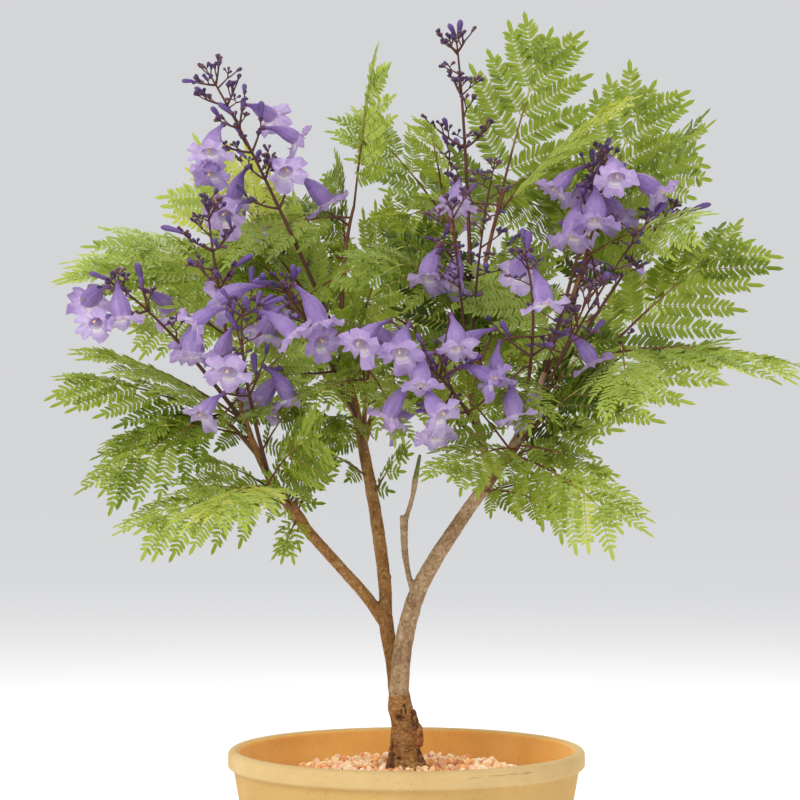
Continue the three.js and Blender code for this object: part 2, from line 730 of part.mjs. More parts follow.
// Every mass starts as a bare stem that clears the limb it leaves.
function stemOf(spec) {
  const curve = curves.get(spec.limb);
  const start = curve.getPoint(spec.at);
  const stem = bend(start, vec(spec.end), curve.getTangent(spec.at), STEM_BEND);
  const source = LIMBS.find((limb) => limb.name === spec.limb);
  const solid = twigSolid(stem, STEM_RADII, STEM_RINGS).subtract(limbSolid(source, curve, CLEARANCE));
  return { stem, solid: wholeBody(solid) };
}

const masses = [...PANICLES, ...SHOOTS].map((spec) => ({ spec, ...stemOf(spec) }));

// Leaves, flowers and buds are fused to their stem one at a time; one that would touch a
// limb, the ground or another mass is left out.
const ground = [soilSolid(), gravelSolid(), potSolid()];
for (const mass of masses) {
  const rest = masses.filter((other) => other !== mass).map((other) => other.solid);
  const others = [...limbs.values(), ...ground, ...rest];
  const kept = [mass.solid];
  if (mass.spec.tips) {
    const leaves = growShoot(mass.spec, mass.stem).map((leaf) => leafWithRoom(leaf, others));
    kept.push(...leaves.filter((leaf) => leaf !== null));
  } else {
    const twigs = growPanicle(mass.spec, mass.stem);
    const blooms = twigs.map((twig) => (twig.opens ? flowerSolid(twig) : budSolid(twig)));
    kept.push(...blooms.filter((bloom) => isClear(bloom, others)));
  }
  mass.solid = wholeBody(wasm.Manifold.union(kept));
}

const plant = new THREE.Group();
plant.name = "jacaranda_bonsai";

function addNode(name, solid, paint) {
  const mesh = new THREE.Mesh(geometryOf(solid), new THREE.MeshStandardMaterial(PAINT[paint]));
  mesh.name = name;
  plant.add(mesh);
}

addNode("pot", ground[2], "clay");
addNode("soil", ground[0], "soil");
addNode("gravel", ground[1], "gravel");
for (const [name, solid] of limbs) addNode(name, solid, "bark");
for (const mass of masses) addNode(mass.spec.name, mass.solid, mass.spec.tips ? "leaf" : "blossom");

export default plant;
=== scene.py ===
"""Looks of a flowering jacaranda bonsai in a clay pot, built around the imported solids.

Plans and rules are in millimetres, as in the part's source; meshes are made in metres.
+Z is up, and -Y points to the side that the plant is shown from.
"""

import math

import bpy
import numpy as np
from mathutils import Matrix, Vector, noise


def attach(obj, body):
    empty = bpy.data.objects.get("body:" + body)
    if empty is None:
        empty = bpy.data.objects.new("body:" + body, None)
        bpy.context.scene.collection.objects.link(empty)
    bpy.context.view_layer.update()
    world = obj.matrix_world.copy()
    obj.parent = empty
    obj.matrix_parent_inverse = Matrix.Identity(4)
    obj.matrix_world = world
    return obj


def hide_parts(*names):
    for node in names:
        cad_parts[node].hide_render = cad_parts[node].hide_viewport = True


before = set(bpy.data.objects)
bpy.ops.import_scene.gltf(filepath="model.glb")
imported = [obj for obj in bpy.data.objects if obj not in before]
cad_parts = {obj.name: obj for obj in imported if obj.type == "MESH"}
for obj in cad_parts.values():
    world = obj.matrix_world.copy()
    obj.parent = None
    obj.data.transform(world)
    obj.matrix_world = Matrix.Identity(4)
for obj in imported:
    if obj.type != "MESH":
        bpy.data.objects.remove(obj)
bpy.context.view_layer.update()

MM = 0.001
UP = np.array([0.0, 0.0, 1.0])

# Camera, at the photograph's place and angle: a level look from the front.
CAMERA_PLACE = (-0.0039, -1.640, 0.3966)
FOCAL_PIXELS = 2733
FRAME_PIXELS = 800
SENSOR = 36

# Pot
POT_HEIGHT = 188
POT_RADIUS = 107
POT_BASE_RADIUS = 71
POT_WALL = 7
POT_FLOOR = 10
BAND_HEIGHT = 12.5
BAND_STEP = 3.5
DRAIN_RADIUS = 5
DRAIN_RING = 42
DRAIN_COUNT = 3
DRAIN_SIDES = 24
POT_SIDES = 160
POT_WOBBLE = 0.35
WOBBLE_ROUND = 1.6
WOBBLE_HEIGHT = 60
FOOT_ROUND = 2
FOOT_EDGE = 8
BAND_ROUND = 1.3
INSIDE_FROM = 3

# Hairline crack on the pot's band: its runs in compass degrees, and its depth below the lip.
CRACK_RUNS = ((-72, -66), (-65, -58), (-57.4, -54), (-53, -48))
CRACK_DROP = 4.6
CRACK_PROUD = 0.16
CRACK_SEED = 5

# Gravel
GROUND = 165.0
GRAVEL_TOP = 176.5
GRAVEL_FLAT_RADIUS = 56
GRAVEL_RADIUS = 92
STONE_SIZE = (3.6, 6.8)
STONE_RING = (13, 90.5)
STONE_KINDS = 9
STONE_SHARES = (0.3, 0.22, 0.16, 0.12, 0.12, 0.08)
STONE_SINK = 0.9
STONE_TRIES = 9000
STONE_ROOM = 0.78
STONE_SEED = 17
BED_HOLE = 12.2
BED_RINGS = 26
BED_SIDES = 90
BED_SINK = 1.6
GRAVEL_LUMP = 1.4
LUMP_WAVE = 0.36

# Limbs: the points that each passes, and its radius at each of them.
LIMBS = {
    "trunk": (
        [(0, 0, 157), (-0.3, 0, 176), (-1, 0, 189), (-2.4, 0, 204), (-3.6, 0, 213), (-4.6, 0, 221.5)],
        [13, 11.2, 8.6, 7.2, 7.1, 6.3]),
    "right_bough": (
        [(-4.8, -1, 219), (-2.2, -2, 248), (4.8, -3, 276.5), (16, -5, 299.5),
         (34, -8, 327), (51.5, -11, 352), (70.5, -15, 379), (82, -18, 413)],
        [5.9, 5.6, 5.2, 4.7, 4.1, 3.9, 2.6, 1.8]),
    "rear_stem": (
        [(-5.2, 4, 214), (-7, 8, 231), (-9, 9, 244), (-11.4, 9, 256), (-12.8, 9, 266)],
        [5, 4.7, 4.6, 4.5, 4.5]),
    "middle_bough": (
        [(-12.8, 9, 263), (-12.9, 10, 283), (-15.9, 12, 309), (-19.8, 15, 334),
         (-24.3, 18, 358), (-30.3, 20, 388), (-38, 21, 419), (-44, 22, 439)],
        [4.3, 3.9, 3.9, 3.8, 3.5, 3, 2.4, 2]),
    "left_bough": (
        [(-11, 9, 259), (-24, 7, 278), (-41, 3, 297.5), (-58.5, -2, 317.5), (-65.5, -5, 327.5),
         (-75, -9, 340), (-84, -13, 355), (-93, -17, 376), (-99, -20, 396)],
        [3.9, 3.5, 3.3, 3.2, 3.9, 2.9, 2.4, 2, 1.6]),
    "centre_branch": (
        [(51.5, -11, 350), (45, -9, 372), (39, -5, 398), (36.9, 0, 430), (38.7, 6, 465)],
        [2.8, 2.4, 2.1, 1.8, 1.5]),
    "right_back_bough": (
        [(58, -12, 361), (69, 6, 380), (86, 36, 412), (100, 66, 440)],
        [2.2, 1.9, 1.7, 1.4]),
    "back_bough": (
        [(-26.5, 18.7, 369), (-20, 38, 388), (-8, 66, 412), (6, 94, 440)],
        [2.4, 2.1, 1.8, 1.5]),
    "back_left_bough": (
        [(-30.3, 20, 388), (-42, 36, 402), (-60, 62, 424), (-78, 88, 446)],
        [2.2, 1.9, 1.7, 1.4]),
    "cut_shoot": (
        [(4.6, -3, 279), (0.6, -2, 294.5), (-1.2, -1, 309.5), (-1.5, 0, 327.5)],
        [1.8, 1.7, 2.1, 2.6]),
}
SPROUT = ([(-1.3, -0.5, 322), (3.4, -1, 338), (5.2, -2, 348), (8, -4, 364)], [1.6, 1.4, 1.9, 0.9])
SPROUT_GREEN = 350

# Trunk relief: how far it is drawn in between its roots, and the swollen collar at its top.
FLARE_LOBES = 5
FLARE_TURN = 0.6
FLARE_WAIST = 4.8
FLARE_HEIGHT = 17
COLLAR_SWELL = 1.0
COLLAR_MIDDLE = 212
COLLAR_HALF = 6

# Knots and old leaf scars on each bough: station, compass angle and radius.
KNOTS = {
    "right_bough": [
        (0.13, -1.2, 2.4), (0.34, 2.6, 2.0), (0.47, -0.9, 1.8), (0.56, 2.4, 2.2), (0.72, -1.6, 2.4),
        (0.25, 0.2, 1.8)],
    "rear_stem": [(0.55, -2.2, 1.7)],
    "middle_bough": [(0.3, -2.4, 2.0), (0.5, -0.4, 1.8), (0.18, 0.2, 1.7)],
    "left_bough": [(0.17, -1.8, 1.7), (0.36, 1.2, 1.8), (0.5, -1.4, 2.8), (0.63, 1.6, 1.7)],
}
KNOT_SINK = 0.55

# Limb meshes: steps along and round, and the bark's waves across and along, which flatten out
# higher up.
LIMB_STEP = 1.1
LIMB_SIDES = 22
TRUNK_SIDES = 44
ROOT_SIDES = 16
LIMB_VOXEL = 0.6
BARK_RELIEF = 0.6
BARK_WAVE = (3.6, 6.5)
BARK_GRAIN = (1.4, 2.4)
BARK_SMOOTH = 0.36
SMOOTH_FROM = 190
SMOOTH_OVER = 45

# Cracks and holes on the trunk's front: place across, height, half width, half height and depth.
# The old bark is also darkened in them with painted shade.
PITS = [
    (-1.4, 213.8, 0.8, 1.3, 1.6), (-0.4, 210.4, 0.7, 2.2, 1.4), (-3.1, 210.4, 0.6, 1.8, 1.1),
    (-4.4, 206.2, 2.1, 1.7, 2.2), (-8.4, 190, 0.7, 5, 1.2), (-4.8, 182.6, 1.6, 0.8, 1.0),
    (4.9, 196, 0.7, 4, 1.0),
]

# Roots and flaps of old bark at the trunk's foot: two ends, the radius at each, and the bark.
# The bark called dark is darker on the left lobe, and is painted shade on the right root and on
# the small flap high on the right, which lie in the trunk's shadow.
ROOTS = [
    ((-8.6, -4.6, 184), (-10.8, -6.6, 170), 1.9, 3.7, "dark"),
    ((6.4, -4, 187), (11.4, -6, 169), 2.0, 3.7, "dark"),
    ((-2.2, -3.4, 194), (-2.8, -7.4, 168), 3.6, 5.6, "old"),
    ((3, -3.4, 192), (4.6, -8, 168), 3.0, 4.6, "old"),
    ((6.9, -3.4, 200), (7.1, -3.6, 191.5), 2.9, 3.1, "red"),
    ((4.4, -3.8, 210), (6.2, -3.6, 200), 1.3, 2.0, "dark"),
    ((-8, -2.6, 200), (-8.8, -3.4, 184), 1.2, 1.9, "old"),
    ((-6, 6, 190), (-10, 9, 170), 2.4, 4.6, "old"),
    ((4, 7, 190), (7, 10, 170), 2.4, 4.6, "old"),
]
ROOT_EDGE = 0.4
ROOT_WAVE = 2.2

# Where old bark ends, unevenly, at the collar, and where the young sprout is green.
COLLAR = 220.5
COLLAR_EDGE = 2.5
COLLAR_WAVE = 4
SPROUT_NEAR = 2.8

# The limbs are joined into two pieces, so that the stems still show apart where they cross.
FRONT_LIMBS = ["trunk", "right_bough", "centre_branch", "right_back_bough", "cut_shoot"]
REAR_LIMBS = ["rear_stem", "middle_bough", "left_bough", "back_bough", "back_left_bough"]

# Leaves: pairs of side fronds on an arching midrib, with one frond at its tip.
LEAF_ARCH = 0.13
LEAF_ROLL = 0.5
LEAF_LEAN = 1.1
LEAN_DEPTH = 45
FROND_FIRST = 0.25
FROND_LAST = 0.76
FROND_REACH = 0.42
FROND_WIDEST = 0.4
FROND_FALL = 0.68
FROND_ANGLES = (0.86, 0.5)
STEM_RADII = (1.7, 0.9)
STEM_BEND = 0.18
EXTRA_LEAF = (78, 118)
EXTRA_RISE = (-0.25, 0.8)
GOLDEN_ANGLE = math.pi * (3 - math.sqrt(5))
CROWN_MIDDLE = np.array([2, 8, 468])
CROWN_HALF = np.array([236, 190, 168])

# What the scene adds to the leaf rule: the real number of fronds, leaflets along them, and small
# leaves that fill the crown. Leaflets have their own size on a full leaf and less on a smaller one.
FULL_LEAF = 115
LEAF_SCALES = (0.8, 1.1)
MIDRIB_RADII = (0.95, 0.4)
RIB_RADII = (0.42, 0.34, 0.26, 0.16)
FROND_PAIRS = (3, 8)
FROND_SWEEP = (0.06, 0.18)
FROND_SAG = (0.08, 0.22)
SHORT_FROND = 7
SHORT_TIP = 8
FINE_FIRST = 0.15
FINE_LAST = 0.8
FINE_PITCH = 13.5
LEAFLET_LENGTH = (9.8, 8.8)
LEAFLET_PITCH = 0.26
LEAFLET_WIDTH = 0.28
LEAFLET_ANGLES = (1.12, 0.8)
TIP_LEAFLET = 1.15
LEAFLET_OUTLINE = ((0.15, 0.86), (0.73, 0.88))
LEAFLET_FOLD = 0.16
LEAF_ROOF = (0.08, 0.42)
FILL_LEAVES = 6
FILL_LEAF = (58, 96)
FILL_MIDDLE = np.array([-46, 10, 446])
FILL_HALF = np.array([124, 130, 72])
FILL_FRONT = -36
FILL_STATIONS = (0.3, 0.95)
# The fill leaves in the crown's middle get middle and fresh tones as painted light, where light comes
# through the crown.
FILL_PAINTED_LIGHT_TONES = "mff"

# Leafy shoots: limb, station, stem's end, tips of the leading leaves, extra leaves, seed, and the
# tone of each leaf from the base colours: d dark, m middle, f fresh, y yellow. Beside the leaves'
# own greens, the tones hold painted shade and light: dark for leaves in the shade inside the crown,
# fresher in the middle where light comes through. A tip's fourth value is the leaf's own lean,
# where it doesn't face the front as the others do.
SHOOTS = {
    "left_upper_foliage": (
        "middle_bough", 0.78, (-72, 12, 464),
        [(-206, 8, 478, 0.6), (-116, 0, 456), (-119, 62, 494)], 0, 11, "ffm"),
    "left_side_foliage": (
        "left_bough", 0.8, (-112, -18, 388),
        [(-208, -20, 410, 0.4), (-180, -34, 368, 0.7), (-178, -78, 341, 0.5)], 0, 23, "mmm"),
    "left_low_foliage": (
        "left_bough", 0.52, (-82, -38, 346),
        [(-156, -88, 321, 0.5), (-112, -140, 330, 0.5), (-48, -120, 378, 3)], 0, 31, "fym"),
    "left_top_foliage": (
        "middle_bough", 0.89, (-32, 22, 514),
        [(-45, 74, 544), (-92, 111, 525), (-19, -18, 598, 0.5)], 0, 43, "mmf"),
    "middle_top_foliage": (
        "centre_branch", 0.86, (22, 14, 520),
        [(-35, 34, 572), (53, 99, 534), (12, -40, 560)], 0, 53, "fmf"),
    "top_right_foliage": (
        "centre_branch", 0.66, (58, -8, 520),
        [(88, 36, 622), (128, -36, 574, 0.2), (96, 60, 540)], 0, 61, "mym"),
    "right_upper_foliage": (
        "right_bough", 0.93, (112, 6, 492),
        [(151, 36, 590), (184, 66, 556), (170, -60, 500)], 1, 71, "mmfm"),
    "right_side_foliage": (
        "right_bough", 0.785, (128, -14, 432),
        [(208, 12, 494), (233, -20, 416, 0.35), (124, -96, 392)], 0, 83, "mff"),
    "right_low_foliage": (
        "right_bough", 0.68, (66, -46, 370),
        [(122, -112, 322), (22, -124, 352), (118, -56, 352)], 0, 97, "fmf"),
    "centre_left_foliage": (
        "middle_bough", 0.6, (-22, -24, 414),
        [(-32, -50, 452), (-60, -60, 396), (-2, -60, 374)], 0, 101, "mmf"),
    "centre_right_foliage": (
        "centre_branch", 0.45, (44, -32, 418),
        [(2, 20, 500), (78, 14, 493), (77, -89, 385)], 1, 113, "dmmm"),
    "back_left_foliage": (
        "back_left_bough", 0.8, (-104, 104, 456),
        [(-180, 120, 440), (-160, 130, 486), (-92, 186, 430), (-62, 170, 520)], 0, 127, "mmfd"),
    "back_middle_foliage": (
        "back_bough", 0.8, (0, 124, 462),
        [(20, 190, 520), (-40, 180, 416), (64, 176, 430)], 0, 131, "fmm"),
    "back_right_foliage": (
        "right_back_bough", 0.8, (122, 88, 452),
        [(120, 150, 396), (196, 96, 488), (120, 170, 436), (110, 120, 552)], 0, 149, "mfmd"),
    "back_low_foliage": (
        "back_bough", 0.5, (8, 72, 400),
        [(60, 128, 392), (-50, 138, 396)], 0, 157, "mf"),
}

# Leaves straight from the boughs: limb, station, tip, tone, with the same painted shade and light
# as the shoots' tones, and, for some, the leaf's own lean.
YOUNG_SEED = 409
YOUNG_ROLL = 0.3
YOUNG_LEAVES = [
    ("right_bough", 0.8, (118, -50, 412), "d"), ("right_bough", 0.9, (122, -24, 438), "d"),
    ("right_bough", 0.74, (112, -60, 378), "m"), ("right_bough", 0.96, (136, -34, 396), "m"),
    ("right_bough", 0.66, (92, -60, 330), "f"), ("right_bough", 0.64, (104, -20, 348), "m"),
    ("left_bough", 0.8, (-60, -44, 400), "m"), ("left_bough", 0.9, (-120, -60, 392), "m"),
    ("middle_bough", 0.62, (-70, -20, 390), "d"), ("middle_bough", 0.52, (-64, -16, 370), "m"),
    ("left_bough", 0.62, (-38, -36, 384), "m"), ("left_bough", 0.55, (-130, -70, 346), "f"),
    ("middle_bough", 0.7, (-44, -50, 376), "m"), ("left_bough", 0.95, (-84, -60, 388), "m"),
    ("left_bough", 0.6, (-120, -36, 362), "f"), ("left_bough", 0.86, (-154, -50, 380), "m"),
    ("left_bough", 0.5, (-66, -14, 368), "m"), ("left_bough", 0.51, (-46, -2, 362), "m"),
    ("left_bough", 0.5, (-80, -26, 350), "f"), ("left_bough", 0.49, (-72, -24, 308), "f"),
    ("middle_bough", 0.45, (-2, -6, 366), "m"), ("right_bough", 0.74, (92, 22, 366), "m"),
    ("centre_branch", 0.2, (22, -26, 388), "m"), ("middle_bough", 0.95, (-134, 60, 540), "y"),
    ("middle_bough", 0.82, (-4, 64, 512), "y"), ("left_bough", 0.92, (-192, -26, 428), "f", 0.35),
    ("middle_bough", 0.84, (-178, 6, 496), "f", 0.35), ("right_bough", 0.8, (190, -16, 432), "f", 0.45),
]

# Panicles: limb, station, stem's end, station of the first side twigs, pairs of twigs, the
# share of them with open flowers, and seed.
PANICLES = {
    "left_top_panicle": ("middle_bough", 1, (-117, -15, 590), 0.39, 6, 0.66, 946),
    "left_inner_panicle": ("left_bough", 1, (-116, -43, 507), 0.28, 4, 0.3, 368),
    "left_far_panicle": ("left_bough", 0.9, (-170, -41, 464), 0.73, 2, 1, 732),
    "left_front_panicle": ("left_bough", 0.72, (-93, -96, 448), 0.4, 3, 1, 865),
    "left_middle_panicle": ("middle_bough", 0.7, (-72, -67, 461), 0.27, 3, 1, 894),
    "centre_front_panicle": ("centre_branch", 0.3, (11, -88, 414), 0.2, 4, 1, 816),
    "top_bud_panicle": ("centre_branch", 1, (30, -4, 611), 0.02, 5, 0.3, 897),
    "right_front_panicle": ("right_bough", 0.82, (68, -83, 476), 0.4, 2, 1, 468),
    "right_top_panicle": ("right_bough", 1, (115, -39, 539), 0.67, 4, 1, 749),
    "right_bud_panicle": ("right_bough", 0.87, (160, 10, 512), 0.3, 3, 0, 263),
    "back_left_panicle": ("back_left_bough", 1, (-96, 92, 544), 0.3, 3, 0.7, 269),
    "back_middle_panicle": ("back_bough", 1, (28, 108, 556), 0.3, 3, 0.7, 271),
    "back_right_panicle": ("right_back_bough", 1, (122, 92, 528), 0.3, 3, 0.7, 277),
}
PANICLE_LAST = 0.94
PANICLE_SPREAD = 25
PANICLE_TAPER = 0.72
TWIG_RISE = 0.75
FLOWER_LENGTH = (29, 38)
FLOWER_DROOP = (0.2, 1.0)
FLOWER_TURN = 0.3

# What the scene adds to the panicle rule: flowers on twigs of their own, each with its station on
# the panicle's stem, its root and the way that it faces.
SIDE_FLOWERS = {
    "centre_front_panicle": [
        (0.8, (2, -84, 440), (-0.3, -1, -0.8)), (0.7, (25, -78, 446), (0.2, -0.8, -1)),
        (0.9, (-9, -82, 442), (-0.8, -0.7, -0.6))],
    "right_front_panicle": [
        (0.5, (54, -66, 431), (-0.1, -0.3, -1)), (0.35, (61, -68, 409), (0.05, -0.6, -1))],
}
PANICLE_RADII = (1.4, 0.55)
TWIG_RADII = (0.85, 0.55)
FORK_RADII = (0.62, 0.42)
SECOND_FLOWER = 0.08
SECOND_RADII = (0.6, 0.5, 0.5)

# Forks of small buds: their first station, number and reach on a panicle's stem and on a spray, the
# cymes on open and on closed twigs, and the share of large buds on closed and on open twigs.
FORK_LAST = 0.92
STEM_FORKS = (0.5, 5, (4, 10))
SPRAY_FORKS = (0.4, 9, (7, 16))
OPEN_CYMES = 2
CLOSED_CYMES = 4
CYME_RADII = (0.5, 0.42, 0.38)
BUD_STALK = (0.36, 0.32)
BUD_SMALL = (2.4, 4.0)
BUD_LARGE = (8, 16)
LARGE_BUDS = (0.05, 0.24)
BUD_STATIONS = np.array([0, 0.18, 0.42, 0.68, 0.88, 1.0])
BUD_RADII = np.array([0.46, 0.62, 0.82, 1.0, 0.84, 0.28])

# Sprays of buds straight from the boughs: limb, station and stem's end.
BUD_SPRAYS = [
    ("centre_branch", 0.6, (50, -68, 530)), ("centre_branch", 0.55, (26, -72, 506)),
    ("right_bough", 0.9, (140, -44, 500)), ("right_bough", 0.85, (106, -74, 460)),
]
SPRAY_RADII = (0.9, 0.45)
SPRAY_SEED = 577

# A flower: its tube's stations and radii as shares of its length, its lobes, and the tones of both.
TUBE_STATIONS = np.array([0, 0.06, 0.14, 0.23, 0.32, 0.42, 0.53, 0.64, 0.74, 0.8])
TUBE_RADII = np.array([1.1, 1.4, 1.6, 2.0, 3.2, 4.8, 6.1, 6.7, 6.4, 5.7]) / 38
TUBE_LENGTH = 0.76
TUBE_BEND = 0.2
TUBE_FLAT = 0.8
INNER_FIRST = 6
LIP_HALF = 0.5
THROAT_EDGE = -0.2
THROAT_IN = (0.25, 0.94)
LOBES = 5
LOBE_COLUMNS = 8
LOBE_STEPS = 5
LOBE_LENGTH = 0.275
LOBE_SIZES = (1.0, 1.0, 1.05, 1.18, 1.05)
LOBE_FLARE = (2.0, 2.0, 1.6, 1.45, 1.6)
LOBE_RUFFLE = 0.06
LOBE_TURN = math.radians(18)
TONE_STATIONS = (0, 0.3, 0.6, 1)
TUBE_TONES = (1.0, 2.2, 3.8, 4.6)
LOBE_TONES = (6.0, 4.8)
STAMEN_RADII = (0.4, 0.75)
CALYX_STATIONS = (-0.02, 0.03, 0.1)
CALYX_RADII = (0.9, 1.8, 1.6)

# Lights: place, target, size, power and colour.
LIGHTS = {
    "key": ((-1.5, -1.6, 2.0), (0, 0, 0.4), 1.3, 46, (1.0, 0.97, 0.92)),
    "fill": ((1.9, -1.9, 0.9), (0, 0, 0.3), 1.6, 12, (0.98, 0.98, 1.0)),
    "top": ((0.3, 1.2, 2.1), (0, 0, 0.45), 1.2, 28, (1.0, 0.98, 0.94)),
}
SKY_COLOUR = (0.97, 0.98, 1.0, 1)
SKY_POWER = 0.68
FLOOR_HALF = 40

# The joined pieces of leaves and of blossom are named after their side of the crown.
LEAF_SIDES = ("left", "middle", "right", "back")
BLOSSOM_SIDES = ("left", "right", "back")


# Numbers and curves

def seeded(seed):
    """The same seed always gives the same run of numbers from 0 up to 1, as in the part's rule."""
    state = seed
    mask = 0xFFFFFFFF

    def draw():
        nonlocal state
        state = (state + 0x6D2B79F5) & mask
        word = ((state ^ (state >> 15)) * (state | 1)) & mask
        word = ((word + (((word ^ (word >> 7)) * (word | 61)) & mask)) & mask) ^ word
        return ((word ^ (word >> 14)) & mask) / 4294967296

    return draw


def mix(low, high, share):
    return low + (high - low) * share


def unit(vectors):
    vectors = np.asarray(vectors, float)
    return vectors / np.maximum(np.linalg.norm(vectors, axis=-1, keepdims=True), 1e-9)


def ring_angles(sides):
    return np.arange(sides) * 2 * math.pi / sides


def by_side(names, sides, other):
    """Names grouped by the side that they begin with, or else under the other side."""
    groups = {side: [] for side in sides}
    for name in names:
        first = name.split("_")[0]
        groups[first if first in sides else other].append(name)
    return groups


def limb_points(points, shares):
    """Points on the smooth curve through a limb's own points, at shares of its length."""
    points = np.asarray(points, float)
    padded = np.vstack([2 * points[0] - points[1], points, 2 * points[-1] - points[-2]])
    steps = np.clip(np.atleast_1d(shares), 0, 1) * (len(points) - 1)
    index = np.minimum(steps.astype(int), len(points) - 2)
    t = (steps - index)[:, None]
    a, b, c, d = (padded[index + k] for k in range(4))
    return 0.5 * (2 * b + (c - a) * t + (2 * a - 5 * b + 4 * c - d) * t**2 + (3 * b - a - 3 * c + d) * t**3)


def limb_radii(radii, shares):
    return np.interp(shares * (len(radii) - 1), range(len(radii)), radii)


def limb_at(limb, share):
    """The point of a limb at a share of its length, its direction and its radius there."""
    points, radii = LIMBS[limb]
    near = limb_points(points, [share - 1e-3, share, share + 1e-3])
    return near[1], unit(near[2] - near[0]), limb_radii(radii, share)


class Bend:
    """A curve from start to end that leans to one side by a share of its length."""

    def __init__(self, start, end, lean, share):
        self.start = np.asarray(start, float)
        self.end = np.asarray(end, float)
        self.length = np.linalg.norm(self.end - self.start)
        self.control = (self.start + self.end) / 2 + np.asarray(lean) * share * self.length

    def points(self, shares):
        t = np.asarray(shares, float)[..., None]
        return (1 - t) ** 2 * self.start + 2 * t * (1 - t) * self.control + t**2 * self.end

    def headings(self, shares):
        t = np.asarray(shares, float)[..., None]
        return unit((1 - t) * (self.control - self.start) + t * (self.end - self.control))


def turned(vectors, axis, angle):
    """Vectors turned about a unit axis."""
    along = np.sum(vectors * axis, axis=-1, keepdims=True) * axis
    return along + (vectors - along) * np.cos(angle) + np.cross(axis, vectors) * np.sin(angle)


# Meshes

def new_object(name, data):
    thing = bpy.data.objects.new(name, data)
    bpy.context.scene.collection.objects.link(thing)
    return thing


def set_materials(mesh, materials):
    """Replaces a mesh's materials, which also gives all its faces the first one."""
    mesh.materials.clear()
    for material in materials:
        mesh.materials.append(material)


class Pile:
    """Faces of one kind, gathered as arrays and then made into one mesh."""

    def __init__(self):
        self.points = []
        self.corners = []
        self.sizes = []
        self.paints = []
        self.count = 0

    def add(self, points, faces, paint):
        self.points.append(np.asarray(points, float).reshape(-1, 3))
        self.count += len(self.points[-1])
        self.more(faces, paint)

    def more(self, faces, paint):
        """Further faces on the points that were added last."""
        faces = np.asarray(faces)
        self.corners.append((faces + self.count - len(self.points[-1])).ravel())
        self.sizes.append(np.full(len(faces), faces.shape[1]))
        self.paints.append(np.broadcast_to(paint, len(faces)))

    def made(self, name, materials, smooth=True):
        mesh = bpy.data.meshes.new(name)
        set_materials(mesh, materials)
        points = np.concatenate(self.points) * MM
        corners = np.concatenate(self.corners)
        sizes = np.concatenate(self.sizes)
        mesh.vertices.add(len(points))
        mesh.vertices.foreach_set("co", points.astype(np.float32).ravel())
        mesh.loops.add(len(corners))
        mesh.loops.foreach_set("vertex_index", corners.astype(np.int32))
        mesh.polygons.add(len(sizes))
        mesh.polygons.foreach_set("loop_start", (np.cumsum(sizes) - sizes).astype(np.int32))
        mesh.polygons.foreach_set("material_index", np.concatenate(self.paints).astype(np.int32))
        mesh.polygons.foreach_set("use_smooth", np.full(len(sizes), smooth))
        mesh.update(calc_edges=True)
        mesh.validate()
        return new_object(name, mesh)


def frames_along(points):
    """A pair of cross directions at each point of a line, carried along it without twist."""
    headings = unit(np.gradient(points, axis=0))
    first = np.array([1.0, 0, 0]) if abs(headings[0][0]) < 0.8 else np.array([0, 1.0, 0])
    firsts = []
    for heading in headings:
        first = unit(first - heading * (first @ heading))
        firsts.append(first)
    return np.array(firsts), np.cross(headings, firsts)


def grid_faces(rings, sides):
    """Quads between rings of points."""
    ring = np.arange(rings - 1)[:, None]
    side = np.arange(sides)[None, :]
    near = ring * sides
    after = (side + 1) % sides
    quads = np.stack([near + side, near + after, near + sides + after, near + sides + side], axis=-1)
    return quads.reshape(-1, 4)


def add_tube(pile, points, radii, sides, paint, capped=True):
    """A tube along a line. It has one radius, one for each point, or one for each point and side."""
    points = np.asarray(points, float)
    radii = np.asarray(radii, float)
    if radii.ndim < 2:
        radii = np.broadcast_to(radii, len(points))[:, None]
    first, second = frames_along(points)
    angles = ring_angles(sides)
    rings = points[:, None] + radii[..., None] * (
        first[:, None] * np.cos(angles)[:, None] + second[:, None] * np.sin(angles)[:, None])
    paint = np.broadcast_to(paint, len(points) - 1)
    pile.add(rings, grid_faces(len(points), sides), np.repeat(paint, sides))
    if capped:
        pile.more([np.arange(sides)[::-1]], paint[0])
        pile.more([np.arange(sides) + (len(points) - 1) * sides], paint[-1])


def add_stem(pile, stem, radii, steps, sides, paint):
    """A tapering tube along a bend."""
    add_tube(pile, stem.points(np.linspace(0, 1, steps)), np.linspace(*radii, steps), sides, paint)


def noise_at(points, across, upright):
    return np.array([noise.noise((x / across, y / across, z / upright)) for x, y, z in points])


# Materials

def linear(colour):
    """A colour given in 0 to 255 screen steps, as the shader's own linear values."""
    steps = np.array(colour) / 255
    values = np.where(steps <= 0.04045, steps / 12.92, ((steps + 0.055) / 1.055) ** 2.4)
    return (*values.tolist(), 1.0)


